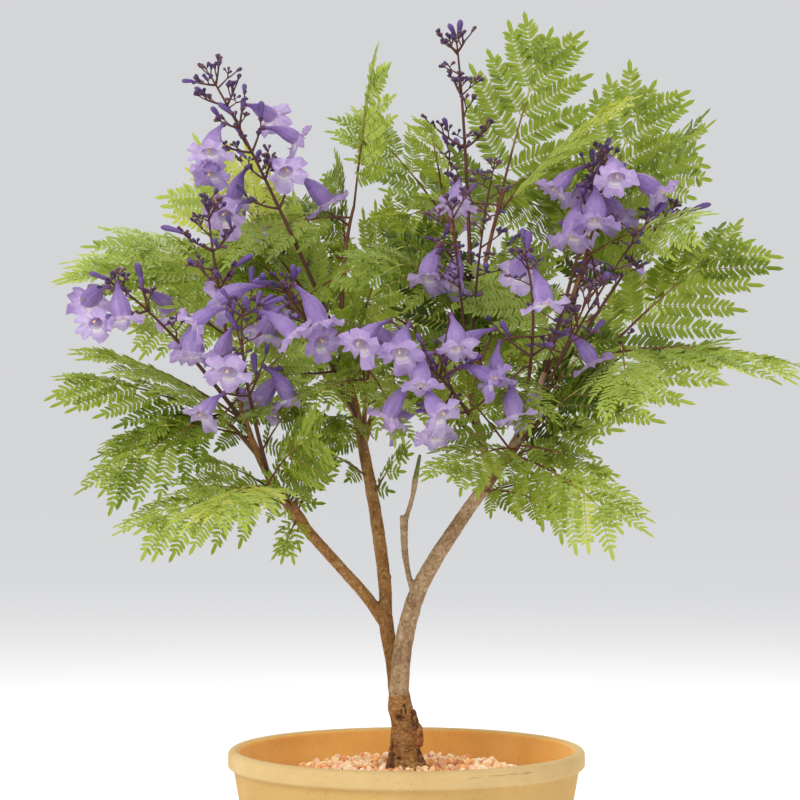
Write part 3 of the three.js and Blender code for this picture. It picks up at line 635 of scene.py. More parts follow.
class Paint:
    """A material's node tree, with short calls to add and join its nodes."""

    def __init__(self, name, colour, roughness, specular=0.3):
        self.material = bpy.data.materials.new(name)
        self.material.use_nodes = True
        self.material.diffuse_color = linear(colour)
        self.nodes = self.material.node_tree.nodes
        self.shader = self.nodes["Principled BSDF"]
        self.shader.inputs["Base Color"].default_value = linear(colour)
        self.shader.inputs["Roughness"].default_value = roughness
        self.shader.inputs["Specular IOR Level"].default_value = specular

    def node(self, kind, **inputs):
        """A new node. Its inputs are given under their names, as values or as other nodes' outputs."""
        node = self.nodes.new("ShaderNode" + kind)
        for name, value in inputs.items():
            socket = node.inputs[name.replace("_", " ")]
            if isinstance(value, bpy.types.NodeSocket):
                self.link(value, socket)
            else:
                socket.default_value = value
        return node

    def link(self, source, target):
        self.material.node_tree.links.new(source, target)

    def place(self, stretch=(1, 1, 1), shift=(0, 0, 0)):
        """Places on the piece in metres, stretched along each axis and then shifted."""
        place = self.node("TexCoord").outputs["Object"]
        return self.node("Mapping", Vector=place, Scale=stretch, Location=shift).outputs["Vector"]

    def noise(self, place, scale, detail=4, rough=0.6, distortion=0):
        texture = self.node(
            "TexNoise", Vector=place, Scale=scale, Detail=detail, Roughness=rough, Distortion=distortion)
        return texture.outputs["Fac"]

    def cells(self, place, scale):
        return self.node("TexVoronoi", Vector=place, Scale=scale).outputs["Distance"]

    def ball(self, centre, half):
        """One at a place, and falling to nothing at the half sizes from it."""
        gradient = self.node("TexGradient", Vector=self.place(1 / half, -centre / half))
        gradient.gradient_type = "SPHERICAL"
        return gradient.outputs["Fac"]

    def ramp(self, factor, *stops):
        ramp = self.node("ValToRGB", Fac=factor)
        elements = ramp.color_ramp.elements
        while len(elements) < len(stops):
            elements.new(0.5)
        for element, (place, colour) in zip(elements, stops):
            element.position = place
            element.color = linear(colour)
        return ramp.outputs["Color"]

    def span(self, value, low, high, to_low, to_high):
        span = self.node(
            "MapRange", Value=value, From_Min=low, From_Max=high, To_Min=to_low, To_Max=to_high)
        return span.outputs["Result"]

    def blend(self, share, first, second, kind="MIX"):
        """Two colours or heights mixed: the node's colour sockets are its inputs 6 and 7."""
        blend = self.node("Mix")
        blend.data_type = "RGBA"
        blend.blend_type = kind
        blend.inputs[0].default_value = share
        self.link(first, blend.inputs[6])
        self.link(second, blend.inputs[7])
        return blend.outputs[2]

    def bump(self, height, strength, distance):
        bump = self.node("Bump", Height=height, Strength=strength, Distance=distance)
        self.link(bump.outputs["Normal"], self.shader.inputs["Normal"])

    def colour(self, source):
        self.link(source, self.shader.inputs["Base Color"])

    def thin(self, colour, share):
        """Lets some of the light through, as a leaf or petal does."""
        through = self.node("BsdfTranslucent", Color=linear(colour))
        mixed = self.node("MixShader", Fac=share)
        self.link(self.shader.outputs["BSDF"], mixed.inputs[1])
        self.link(through.outputs["BSDF"], mixed.inputs[2])
        self.link(mixed.outputs["Shader"], self.nodes["Material Output"].inputs["Surface"])


WHITE = (255, 255, 255)
BLACK = (0, 0, 0)


def clay_paint(name, dark, middle, light):
    paint = Paint(name, middle, 0.82, 0.25)
    place = paint.place()
    cloud = paint.noise(place, 14, 5)
    grain = paint.noise(place, 620, 3)
    tone = paint.ramp(cloud, (0.3, dark), (0.52, middle), (0.72, light))
    speck = paint.ramp(grain, (0.3, (226, 204, 176)), (0.44, WHITE))
    paint.colour(paint.blend(0.4, tone, speck, "MULTIPLY"))
    paint.link(paint.span(cloud, 0.3, 0.7, 0.74, 0.9), paint.shader.inputs["Roughness"])
    rings = paint.noise(paint.place((0.02, 0.02, 1)), 240, 3)
    paint.bump(paint.blend(0.5, grain, rings), 0.22, 0.0006)
    return paint.material


def bark_paint(name, dark, middle, light, pale, coarse=380, upright=0.8, pits=()):
    """Bark of short fibres or bands, with paler raised pores in it, and painted shade in its pits."""
    paint = Paint(name, middle, 0.86, 0.22)
    place = paint.place()
    fibre = paint.noise(paint.place((1, 1, upright)), coarse, 6, 0.66, 0.6)
    cloud = paint.noise(place, 70)
    grain = paint.noise(place, 1700, 3)
    tone = paint.ramp(fibre, (0.3, dark), (0.44, middle), (0.58, light), (0.74, pale))
    patch = paint.ramp(cloud, (0.34, (210, 194, 178)), (0.58, WHITE))
    tone = paint.blend(0.8, tone, patch, "MULTIPLY")
    cells = paint.cells(paint.place((0.8, 0.8, 1.1)), 470)
    pores = paint.ramp(cells, (0.12, (140, 132, 122)), (0.3, BLACK))
    tone = paint.blend(0.6, tone, pores, "SCREEN")
    # Painted shade in each pit: darkest at its middle, fading out around it.
    for x, z, wide, tall, _ in pits:
        half = np.array([1.7 * wide, 8, 1.7 * tall]) * MM
        centre = np.array([x, -8, z]) * MM
        shade = paint.ramp(paint.ball(centre, half), (0.02, WHITE), (0.8, (92, 66, 48)))
        tone = paint.blend(1.0, tone, shade, "MULTIPLY")
    paint.colour(tone)
    paint.bump(paint.blend(0.35, fibre, grain), 0.8, 0.001)
    return paint.material


def plain_paint(name, colour, roughness, specular=0.3):
    return Paint(name, colour, roughness, specular).material


def leaf_paint(name, colour, through):
    paint = Paint(name, colour, 0.44, 0.35)
    paint.thin(through, 0.34)
    return paint.material


def petal_paint(name, colour, share=0.48):
    paint = Paint(name, colour, 0.5)
    paint.thin(colour, share)
    return paint.material


def earth_paint(name, dark, light, scale):
    paint = Paint(name, dark, 1.0, 0.1)
    grain = paint.noise(paint.place(), scale, 5)
    paint.colour(paint.ramp(grain, (0.34, dark), (0.66, light)))
    paint.bump(grain, 0.7, 0.002)
    return paint.material


def paints(make, colours, *settings):
    """Materials of one kind, from their names and colours."""
    return [make(name, colour, *settings) for name, colour in colours.items()]


WALL, BAND, INSIDE = range(3)
CLAYS = [
    clay_paint("clay", (188, 150, 89), (198, 161, 98), (209, 175, 114)),
    clay_paint("clay_band", (195, 163, 110), (205, 175, 121), (216, 190, 140)),
    # The inside's clay: a deeper orange, and painted lighter than it is, as painted light against the shade
    # inside the pot.
    clay_paint("clay_inside_painted_light", (228, 164, 82), (243, 186, 103), (248, 200, 126)),
]
CRACK = plain_paint("hairline_crack", (150, 104, 60), 0.95)
SOIL = earth_paint("soil", (52, 36, 26), (104, 74, 52), 240)
GRAVEL_BED = earth_paint("gravel_bed", (176, 118, 78), (224, 170, 122), 260)
STONES = paints(plain_paint, {
    "stone_peach": (250, 214, 170), "stone_orange": (247, 188, 128), "stone_pale": (253, 233, 204),
    "stone_rust": (236, 158, 104), "stone_rose": (247, 202, 170), "stone_brown": (216, 160, 116),
}, 0.9)
BARK_GREY = bark_paint("bark_grey", (118, 91, 65), (156, 128, 96), (182, 155, 122), (214, 194, 166))
BARK_WARM = bark_paint("bark_warm", (106, 70, 36), (148, 107, 60), (168, 126, 76), (192, 155, 106))
OLD_GRAIN = (300, 1.5)
BARK_OLD = bark_paint(
    "bark_old", (96, 60, 30), (148, 105, 60), (176, 133, 83), (206, 170, 124), *OLD_GRAIN, PITS)
BARK_DARK_AND_SHADE = bark_paint(
    "bark_dark_and_shade", (66, 42, 24), (96, 64, 38), (120, 84, 52), (150, 112, 76), *OLD_GRAIN)
BARK_RED = bark_paint(
    "bark_red", (110, 68, 36), (158, 106, 60), (182, 130, 80), (204, 158, 110), *OLD_GRAIN)
GREEN_SHOOT = plain_paint("green_shoot", (104, 108, 50), 0.6)
OLD, GREEN = 1, 2
# Root bark slots: 3 darker bark, and painted shade on the roots in the trunk's shadow; 4 the reddish knob.
ROOT_BARK = {"dark": 3, "red": 4}
# Greens from dark to yellow: the leaves' own range, also dealt out as painted shade and light.
LEAVES = [
    leaf_paint("leaf_dark_and_shaded", (60, 77, 6), (88, 106, 12)),
    leaf_paint("leaf_deep", (98, 118, 20), (128, 145, 24)),
    leaf_paint("leaf_middle", (130, 150, 50), (162, 174, 44)),
    leaf_paint("leaf_fresh", (156, 176, 80), (186, 198, 62)),
    leaf_paint("leaf_yellow", (178, 190, 92), (204, 206, 70)),
]
TONES = {"d": 0.5, "m": 1.6, "f": 2.6, "y": 3.3}
STALK_BROWN, STALK_MAROON, STALK_OLIVE, STALK_GREEN = range(4)
STALKS = [
    plain_paint("stalk_brown", (122, 86, 60), 0.75),
    plain_paint("stalk_maroon", (104, 62, 44), 0.6),
    plain_paint("stalk_olive", (134, 114, 54), 0.6),
    plain_paint("stalk_green", (160, 164, 66), 0.55),
]
PETALS = paints(petal_paint, {
    "petal_darkest": (127, 96, 164), "petal_dark": (142, 112, 177), "petal_deep": (155, 126, 189),
    "petal_violet": (168, 141, 200), "petal_purple": (180, 154, 209), "petal_lilac": (192, 168, 217),
    "petal_light": (205, 185, 227), "petal_pale": (219, 204, 236),
}) + [
    petal_paint("throat_white", (250, 245, 246), 0.6),
    petal_paint("stamen_cream", (244, 206, 160), 0.15),
    petal_paint("calyx", (100, 66, 98), 0.05),
]
PALEST, THROAT, STAMEN, CALYX = 7, 8, 9, 10
BUD_DARK, BUD_VIOLET, BUD_BROWN = range(3)
BUDS = [
    petal_paint("bud_dark", (78, 58, 100), 0.06),
    petal_paint("bud_violet", (106, 80, 142), 0.12),
    petal_paint("bud_brown", (104, 70, 84), 0.04),
]
TWIG_MAROON, TWIG_PURPLE = range(2)
PANICLE_STALKS = paints(
    plain_paint, {"panicle_maroon": (92, 57, 48), "panicle_purple": (88, 58, 66)}, 0.65)


def take(piece, slot, *nodes):
    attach(piece, "root")
    if nodes:
        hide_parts(*nodes)


def modify(piece, kind, **settings):
    modifier = piece.modifiers.new(kind.lower(), kind)
    for name, value in settings.items():
        setattr(modifier, name, value)


def apply_modifiers(piece):
    graph = bpy.context.evaluated_depsgraph_get()
    mesh = bpy.data.meshes.new_from_object(piece.evaluated_get(graph))
    piece.modifiers.clear()
    piece.data = mesh


# Pot

def arc(middle, radius, start, end, steps):
    angles = np.radians(np.linspace(start, end, steps))
    return [(middle[0] + radius * math.cos(a), middle[1] + radius * math.sin(a)) for a in angles]


def pot_profile():
    """Radius and height up the outside from the foot to the lip, and then down the inside."""
    band = POT_HEIGHT - BAND_HEIGHT
    lip = POT_WALL / 2
    wall = POT_RADIUS - BAND_STEP
    foot = POT_BASE_RADIUS - POT_WALL
    outside = [(POT_BASE_RADIUS - FOOT_EDGE, 0)]
    outside += arc((POT_BASE_RADIUS - FOOT_ROUND, FOOT_ROUND), FOOT_ROUND, -90, -8, 5)
    for share in np.linspace(0.04, 0.985, 22):
        outside.append((mix(POT_BASE_RADIUS, wall, share), mix(FOOT_ROUND, band, share)))
    outside += [(wall, band), (wall + 0.9, band + 0.5), (POT_RADIUS - 1, band + 1.7)]
    outside += arc((POT_RADIUS - BAND_ROUND, band + 3.2), BAND_ROUND, -30, 0, 3)
    outside.append((POT_RADIUS, band + 6))
    outside += arc((POT_RADIUS - lip, POT_HEIGHT - lip), lip, 0, 90, 8)
    inside = arc((POT_RADIUS - lip, POT_HEIGHT - lip), lip, 100, 180, 8)
    for share in np.linspace(0.04, 0.96, 20):
        inside.append((mix(POT_RADIUS - POT_WALL, foot, share), mix(POT_HEIGHT - lip, POT_FLOOR, share)))
    inside += [(foot - 2, POT_FLOOR), (DRAIN_RING, POT_FLOOR)]
    return outside, inside


def make_pot():
    outside, inside = pot_profile()
    angles = ring_angles(POT_SIDES)
    x, y = np.cos(angles), np.sin(angles)
    rows = []
    for radius, height in outside + inside:
        level = np.full(POT_SIDES, height)
        turns = np.stack([WOBBLE_ROUND * x, WOBBLE_ROUND * y, level], -1)
        reach = radius + POT_WOBBLE * noise_at(turns, 1, WOBBLE_HEIGHT) * (height > POT_FLOOR)
        rows.append(np.stack([reach * x, reach * y, level], -1))
    count = len(rows) * POT_SIDES
    last = count - POT_SIDES
    around = np.arange(POT_SIDES)
    after = (around + 1) % POT_SIDES
    pile = Pile()
    heights = np.array([height for _, height in outside + inside])
    paint = np.where(heights[:-1] > POT_HEIGHT - BAND_HEIGHT + 1, BAND, WALL)
    paint[len(outside) + INSIDE_FROM:] = INSIDE
    pile.add(np.vstack([np.reshape(rows, (-1, 3)), [[0, 0, 0], [0, 0, POT_FLOOR]]]),
             grid_faces(len(rows), POT_SIDES), np.repeat(paint, POT_SIDES))
    pile.more(np.stack([np.full(POT_SIDES, count), after, around], -1), WALL)
    pile.more(np.stack([np.full(POT_SIDES, count + 1), last + around, last + after], -1), INSIDE)
    pot = pile.made("clay_pot", CLAYS)
    drains = Pile()
    for turn in ring_angles(DRAIN_COUNT) + math.pi / DRAIN_COUNT:
        place = np.array([DRAIN_RING * math.cos(turn), DRAIN_RING * math.sin(turn), 0])
        add_tube(drains, [place - 15 * UP, place + 25 * UP], DRAIN_RADIUS, DRAIN_SIDES, 0)
    cutter = drains.made("drain_cutter", [])
    modify(pot, "BOOLEAN", operation="DIFFERENCE", object=cutter, solver="EXACT")
    apply_modifiers(pot)
    bpy.data.objects.remove(cutter)
    return pot


def make_crack():
    """The hairline crack that runs, with breaks, along the band at the front right of the lip."""
    pile = Pile()
    rng = np.random.default_rng(CRACK_SEED)
    reach = POT_RADIUS + CRACK_PROUD
    height = POT_HEIGHT - CRACK_DROP
    for start, end in CRACK_RUNS:
        compass = np.radians(np.linspace(start, end, 12))
        heights = height + np.cumsum(rng.normal(0.06, 0.16, len(compass)))
        points = np.stack([reach * np.cos(compass), reach * np.sin(compass), heights], -1)
        widths = 0.05 + 0.12 * np.sin(np.linspace(0.1, math.pi - 0.1, len(compass)))
        add_tube(pile, points, widths, 5, 0)
        height = heights[-1]
    return pile.made("lip_crack", [CRACK])


take(make_pot(), "clay", "pot")
take(make_crack(), "clay")


# Gravel and soil

def mound(radius):
    """The height of the gravel at a distance from the middle."""
    shoulder = mix(GRAVEL_FLAT_RADIUS, GRAVEL_RADIUS, 0.4)
    return np.interp(
        radius, [0, GRAVEL_FLAT_RADIUS, shoulder, GRAVEL_RADIUS],
        [GRAVEL_TOP, GRAVEL_TOP, mix(GRAVEL_TOP, GROUND, 0.45), GROUND + 1])


def lump(x, y):
    """The mound's own unevenness."""
    return GRAVEL_LUMP * np.sin(LUMP_WAVE * (x + 0.3 * y)) * np.sin(LUMP_WAVE * (y - 0.35 * x) + 1)


def stone_shapes(count):
    """Uneven stones of unit radius, all with the same faces."""
    bpy.ops.mesh.primitive_ico_sphere_add(subdivisions=2, radius=1)
    ball = bpy.context.object
    points = np.array([v.co[:] for v in ball.data.vertices])
    faces = np.array([f.vertices[:] for f in ball.data.polygons])
    bpy.data.objects.remove(ball)
    shapes = []
    for shape in range(count):
        swell = [1 + 0.55 * noise.noise(Vector(p) * 1.4 + Vector((shape * 7.3, 0, 3.1))) for p in points]
        shapes.append(points * np.array(swell)[:, None])
    return shapes, faces


def make_gravel():
    rng = np.random.default_rng(STONE_SEED)
    shapes, faces = stone_shapes(STONE_KINDS)
    nearest, farthest = STONE_RING
    pile = Pile()
    placed = np.zeros((0, 3))
    for _ in range(STONE_TRIES):
        size = rng.uniform(*STONE_SIZE)
        radius = math.sqrt(rng.uniform(nearest**2, farthest**2))
        compass = rng.uniform(0, 2 * math.pi)
        place = np.array([radius * math.cos(compass), radius * math.sin(compass)])
        gaps = np.hypot(*(placed[:, :2] - place).T) - STONE_ROOM * (placed[:, 2] + size) / 2
        if len(placed) and gaps.min() < 0:
            continue
        placed = np.vstack([placed, [*place, size]])
        spin, _ = np.linalg.qr(rng.normal(size=(3, 3)))
        squash = np.array([1, rng.uniform(0.65, 1), rng.uniform(0.5, 0.8)]) * size / 2
        points = (shapes[rng.integers(len(shapes))] * squash) @ spin.T
        lift = mound(radius) + lump(*place) - STONE_SINK + rng.uniform(-0.8, 1.0)
        paint = rng.choice(len(STONES), p=STONE_SHARES)
        pile.add(points + [*place, lift], faces, paint)
    return pile.made("gravel_stones", STONES, smooth=False)


def make_bed():
    """The gravel under the loose stones, as an uneven mound."""
    angles = ring_angles(BED_SIDES)
    rows = []
    for radius in np.linspace(BED_HOLE, GRAVEL_RADIUS, BED_RINGS):
        x, y = radius * np.cos(angles), radius * np.sin(angles)
        rows.append(np.stack([x, y, mound(radius) + lump(x, y) - BED_SINK], -1))
    foot = rows[-1] * [1, 1, 0] + GROUND * UP
    core = rows[0] * [1, 1, 0] + GROUND * UP
    rows = np.array([core, *rows, foot, core])
    pile = Pile()
    pile.add(rows, grid_faces(len(rows), BED_SIDES)[:, ::-1], 0)
    return pile.made("gravel_bed", [GRAVEL_BED])


take(make_bed(), "gravel", "gravel")
take(make_gravel(), "gravel")
set_materials(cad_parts["soil"].data, [SOIL])


# Limbs

def trunk_relief(heights, angles):
    """The trunk's lean waist, which leaves room for its roots, and the collar at its top."""
    fade = np.exp(-np.maximum(heights - GROUND, 0) / FLARE_HEIGHT)
    swell = COLLAR_SWELL * np.exp(-((heights - COLLAR_MIDDLE) / COLLAR_HALF) ** 2)
    collar = swell * (0.6 - 0.4 * np.cos(angles))
    return collar - FLARE_WAIST * fade * (1 + 0.3 * np.cos(FLARE_LOBES * (angles - FLARE_TURN)))


def add_limb(pile, points, radii, name):
    length = np.linalg.norm(np.diff(points, axis=0), axis=1).sum()
    shares = np.linspace(0, 1, int(length / LIMB_STEP))
    line = limb_points(points, shares)
    size = limb_radii(radii, shares)
    sides = LIMB_SIDES
    if name == "trunk":
        above = line[:, 2] >= GROUND
        line = line[above]
        sides = TRUNK_SIDES
        size = size[above][:, None] + trunk_relief(line[:, 2][:, None], ring_angles(sides)[None])
    add_tube(pile, line, size, sides, 0)


def add_root(pile, start, end, first, last):
    """A limb with rounded ends."""
    rounds = np.radians(np.linspace(80, 10, 5))
    heading = unit(end - start)
    near = start - heading * (first * np.sin(rounds))[:, None]
    far = end + heading * (last * np.sin(rounds[::-1]))[:, None]
    line = np.vstack([near, np.linspace(start, end, 7), far])
    radii = [*first * np.cos(rounds), *np.linspace(first, last, 7), *last * np.cos(rounds[::-1])]
    add_tube(pile, line, radii, ROOT_SIDES, 0)


def bark_relief(points, normals):
    """How far bark stands out or in at each point: fissures, and the pits on the trunk's front."""
    smooth = np.clip((points[:, 2] - SMOOTH_FROM) / SMOOTH_OVER, 0, 1)
    waves = noise_at(points, *BARK_WAVE) + 0.6 * noise_at(points, *BARK_GRAIN)
    relief = BARK_RELIEF * mix(1, BARK_SMOOTH, smooth) * waves
    pits = np.zeros(len(points))
    for x, z, wide, tall, depth in PITS:
        near = ((points[:, 0] - x) / wide) ** 2 + ((points[:, 2] - z) / tall) ** 2
        pits += depth * np.exp(-near) * (normals[:, 1] < -0.15)
    return relief - pits


def add_knots(pile, members):
    (shape,), faces = stone_shapes(1)
    for limb in members:
        for share, compass, size in KNOTS.get(limb, ()):
            place, heading, radius = limb_at(limb, share)
            out = np.array([math.cos(compass), math.sin(compass), 0])
            out = unit(out - heading * (out @ heading))
            middle = place + out * (radius - KNOT_SINK * size)
            pile.add(shape * size * [1, 1, 1.25] + middle, faces, 0)


def vertex_values(mesh, kind):
    values = np.zeros(len(mesh.vertices) * 3, np.float32)
    mesh.vertices.foreach_get(kind, values)
    return values.reshape(-1, 3)


def make_limbs(name, members, materials):
    """Limbs joined into one skin, softened where they meet, with bark relief and bark colours."""
    pile = Pile()
    for member in members:
        add_limb(pile, *LIMBS[member], member)
    if "cut_shoot" in members:
        add_limb(pile, *SPROUT, "sprout")
    if "trunk" in members:
        for start, end, first, last, _ in ROOTS:
            add_root(pile, np.array(start, float), np.array(end, float), first, last)
    add_knots(pile, members)
    limbs = pile.made(name, [])
    modify(limbs, "REMESH", mode="VOXEL", voxel_size=LIMB_VOXEL * MM)
    modify(limbs, "SMOOTH", factor=0.5, iterations=2)
    apply_modifiers(limbs)
    mesh = limbs.data
    points = vertex_values(mesh, "co") / MM
    normals = vertex_values(mesh, "normal")
    moved = (points + normals * bark_relief(points, normals)[:, None]) * MM
    mesh.vertices.foreach_set("co", moved.astype(np.float32).ravel())
    mesh.update()
    set_materials(mesh, materials)
    paint_limbs(mesh, points, len(materials))
    return limbs


def off_root(points, root):
    """How far points lie outside a root, as far as its ends go."""
    start, end, first, last, _ = root
    start = np.array(start, float)
    line = np.array(end, float) - start
    share = np.clip((points - start) @ line / (line @ line), 0, 1)
    gaps = np.linalg.norm(points - start - share[:, None] * line, axis=1)
    return gaps - mix(first, last, share)


def paint_limbs(mesh, points, count):
    """Deals out the bark: old bark below the collar, the roots' own, which on the dark roots in shadow
    is painted shade, and green on the young sprout.
    """
    kinds = np.zeros(len(points), int)
    if count > 1:
        edge = COLLAR + COLLAR_EDGE * noise_at(points, COLLAR_WAVE, COLLAR_WAVE)
        kinds[points[:, 2] < edge] = OLD
        uneven = ROOT_EDGE * (1 + 3 * noise_at(points, ROOT_WAVE, ROOT_WAVE))
        for root in ROOTS:
            if root[4] in ROOT_BARK:
                kinds[off_root(points, root) < uneven] = ROOT_BARK[root[4]]
        sprout = limb_points(SPROUT[0], np.linspace(0, 1, 40))
        for i in np.flatnonzero(points[:, 2] > SPROUT_GREEN):
            if np.linalg.norm(sprout - points[i], axis=1).min() < SPROUT_NEAR:
                kinds[i] = GREEN
    for face in mesh.polygons:
        face.use_smooth = True
        face.material_index = kinds[face.vertices[0]]


FRONT_BARK = [BARK_GREY, BARK_OLD, GREEN_SHOOT, BARK_DARK_AND_SHADE, BARK_RED]
take(make_limbs("front_limbs", FRONT_LIMBS, FRONT_BARK), "bark", *FRONT_LIMBS)
take(make_limbs("rear_limbs", REAR_LIMBS, [BARK_WARM]), "bark", *REAR_LIMBS)


# Leaves

def leaflet_template():
    """A leaflet of unit length and half width, folded along its middle line: points and faces."""
    points = [(0, 0, 0)]
    for along, wide in LEAFLET_OUTLINE:
        droop = -0.1 * along**2
        points += [(along, -wide, droop), (along, 0, droop - LEAFLET_FOLD * wide), (along, wide, droop)]
    points.append((1, 0, -0.1))
    tip = len(points) - 1
    thirds = [(0, 2, 1), (0, 3, 2), (tip - 3, tip - 2, tip), (tip - 2, tip - 1, tip)]
    quads = []
    for row in range(len(LEAFLET_OUTLINE) - 1):
        near = 1 + 3 * row
        quads += [(near, near + 1, near + 4, near + 3), (near + 1, near + 2, near + 5, near + 4)]
    return np.array(points), np.array(thirds), np.array(quads)


LEAFLET, LEAFLET_THIRDS, LEAFLET_QUADS = leaflet_template()


def add_leaflets(pile, roots, headings, normals, lengths, widths, tones):
    """Many leaflets at once, each in its own frame."""
    headings = unit(headings)
    sides = unit(np.cross(normals, headings))
    normals = np.cross(headings, sides)
    long = lengths[:, None, None]
    points = roots[:, None] + (
        LEAFLET[:, 0:1] * long * headings[:, None]
        + LEAFLET[:, 1:2] * widths[:, None, None] / 2 * sides[:, None]
        + LEAFLET[:, 2:3] * long / 2 * normals[:, None])
    start = np.arange(len(roots))[:, None, None] * len(LEAFLET)
    thirds = (LEAFLET_THIRDS + start).reshape(-1, 3)
    quads = (LEAFLET_QUADS + start).reshape(-1, 4)
    pile.add(points, thirds, np.repeat(tones, len(LEAFLET_THIRDS)))
    pile.more(quads, np.repeat(tones, len(LEAFLET_QUADS)))


def add_frond(leaves, stalks, root, heading, bend, length, normal, tone, leaflet, rng):
    """A side frond: its rib, and close pairs of leaflets with a longer one at the tip."""
    shares = np.array([0, 0.35, 0.7, 1.0])[:, None]
    rib = root + (heading * shares + bend * shares**2) * length
    paint = STALK_OLIVE if tone < 1.5 else STALK_GREEN
    add_tube(stalks, rib, RIB_RADII, 3, paint, capped=False)
    pairs = max(int(round(length * 0.9 / (LEAFLET_PITCH * leaflet))), 3)
    t = np.repeat(np.linspace(0.08, 0.97, pairs), 2) + rng.normal(0, 0.005, pairs * 2)
    hand = np.tile([-1.0, 1.0], pairs)
    along = unit(heading + 2 * bend * t[:, None])
    roots = root + (heading * t[:, None] + bend * t[:, None] ** 2) * length
    side = unit(np.cross(normal, along))
    angle = mix(*LEAFLET_ANGLES, t) + rng.normal(0, 0.05, len(t))
    lift = rng.normal(0.12, 0.1, len(t))
    out = along * np.cos(angle)[:, None] + side * (hand * np.sin(angle))[:, None]
    out = unit(out + normal * lift[:, None])
    face = unit(normal + side * (hand * -0.2)[:, None] + rng.normal(0, 0.1, (len(t), 3)))
    swell = 0.62 + 0.38 * np.sin(math.pi * np.clip(t, 0, 1) ** 0.7)
    lengths = leaflet * swell * rng.uniform(0.92, 1.06, len(t))
    widths = LEAFLET_WIDTH * leaflet * (0.75 + 0.25 * swell) * rng.uniform(0.92, 1.08, len(t))
    tones = tone + np.append(rng.normal(0, 0.14, len(t)), 0)
    add_leaflets(
        leaves,
        np.vstack([roots, root + (heading + bend) * length]),
        np.vstack([out, unit(heading + 2 * bend)]),
        np.vstack([face, normal]),
        np.append(lengths, leaflet * TIP_LEAFLET),
        np.append(widths, LEAFLET_WIDTH * leaflet * 1.1),
        np.clip(np.round(tones), 0, len(LEAVES) - 1).astype(int))


def add_leaf(leaves, stalks, base, tip, roll, tone, rng, lean=LEAF_LEAN):
    """A twice-feathered leaf on the part's own midrib, with its real number of fronds."""
    midrib = Bend(base, tip, UP, LEAF_ARCH)
    length = midrib.length
    heading = unit(midrib.end - midrib.start)
    face = np.array([0, -lean if midrib.end[1] < LEAN_DEPTH else lean, 1])
    side = turned(unit(np.cross(heading, face)), heading, roll)
    scale = float(np.clip(length / FULL_LEAF, *LEAF_SCALES))
    leaflet = mix(*LEAFLET_LENGTH, tone / len(LEAVES)) * scale
    roof = rng.uniform(*LEAF_ROOF)
    rib = midrib.points(np.linspace(0, FINE_LAST + 0.01, 12))
    paint = [STALK_MAROON] * 5 + [STALK_OLIVE] * 3 + [STALK_GREEN] * 3
    add_tube(stalks, rib, np.linspace(*MIDRIB_RADII, 12) * scale, 5, paint)
    pairs = round((FINE_LAST - FINE_FIRST) * length / (FINE_PITCH * scale))
    pairs = int(np.clip(pairs, *FROND_PAIRS))
    for pair in range(pairs):
        station = mix(FINE_FIRST, FINE_LAST - 0.03, pair / (pairs - 1))
        along = midrib.headings(station)
        normal = unit(np.cross(side, along))
        share = (station - FROND_FIRST) / (FROND_LAST - FROND_FIRST)
        for hand in (-1, 1):
            angle = mix(*FROND_ANGLES, share) + rng.normal(0, 0.05)
            reach = frond_length(station, length) * rng.uniform(0.93, 1.05) - leaflet
            reach = max(reach, SHORT_FROND)
            away = hand * side - roof * normal
            out = unit(math.cos(angle) * along + math.sin(angle) * away + 0.06 * UP)
            upper = unit(normal + hand * roof * side)
            bend = along * rng.uniform(*FROND_SWEEP) - UP * rng.uniform(*FROND_SAG)
            shade = tone + 0.7 * (station - 0.45) + rng.normal(0, 0.25)
            root = midrib.points(min(station + rng.normal(0, 0.006), FINE_LAST))
            add_frond(leaves, stalks, root, out, bend, reach, upper, shade, leaflet, rng)
    along = midrib.headings(FINE_LAST)
    normal = unit(np.cross(side, along))
    reach = max(length * (1 - FINE_LAST) - leaflet, SHORT_TIP)
    root = midrib.points(FINE_LAST)
    add_frond(leaves, stalks, root, along, -0.08 * UP, reach, normal, tone + 0.3, leaflet, rng)


def frond_length(station, leaf_length):
    off = (station - FROND_WIDEST) / FROND_FALL
    return FROND_REACH * leaf_length * (1 - off**2)


def heading_of(compass, lift):
    return np.array([
        math.cos(compass) * math.cos(lift), math.sin(compass) * math.cos(lift), math.sin(lift)])


def within(place, middle, half):
    return np.sum(((place - middle) / half) ** 2) < 1


def shoot_leaves(spec, stem):
    """The leaves of a shoot by the part's rule, and then fill leaves inside the crown."""
    _, _, _, tips, extra, seed, tones = spec
    draw = seeded(seed)
    total = len(tips) + extra
    found = []
    for i in range(total + FILL_LEAVES):
        fill = i >= total
        station = 0.45 + 0.55 * (i + 1) / total
        if fill:
            station = mix(*FILL_STATIONS, (i - total + 0.5) / FILL_LEAVES)
        base = stem.points(station)
        turn, rise, size, roll = draw(), draw(), draw(), draw()
        lean = LEAF_LEAN
        if i < len(tips):
            tip = np.array(tips[i][:3], float)
            lean = tips[i][3] if len(tips[i]) > 3 else LEAF_LEAN
        else:
            compass = GOLDEN_ANGLE * (i + seed) + turn
            length = mix(*(FILL_LEAF if fill else EXTRA_LEAF), size)
            tip = base + heading_of(compass, mix(*EXTRA_RISE, rise)) * length
            room = (FILL_MIDDLE, FILL_HALF) if fill else (CROWN_MIDDLE, CROWN_HALF)
            if not within(tip, *room) or (fill and tip[1] < FILL_FRONT):
                continue
        # Tones from the shoot's list, or painted light for the fill leaves.
        tone = TONES[FILL_PAINTED_LIGHT_TONES[i % len(FILL_PAINTED_LIGHT_TONES)] if fill else tones[i]]
        found.append((base, tip, (roll - 0.5) * LEAF_ROLL, tone, lean))
    return found


def stem_of(limb, share, end):
    start, heading, _ = limb_at(limb, share)
    return Bend(start, end, heading, STEM_BEND)


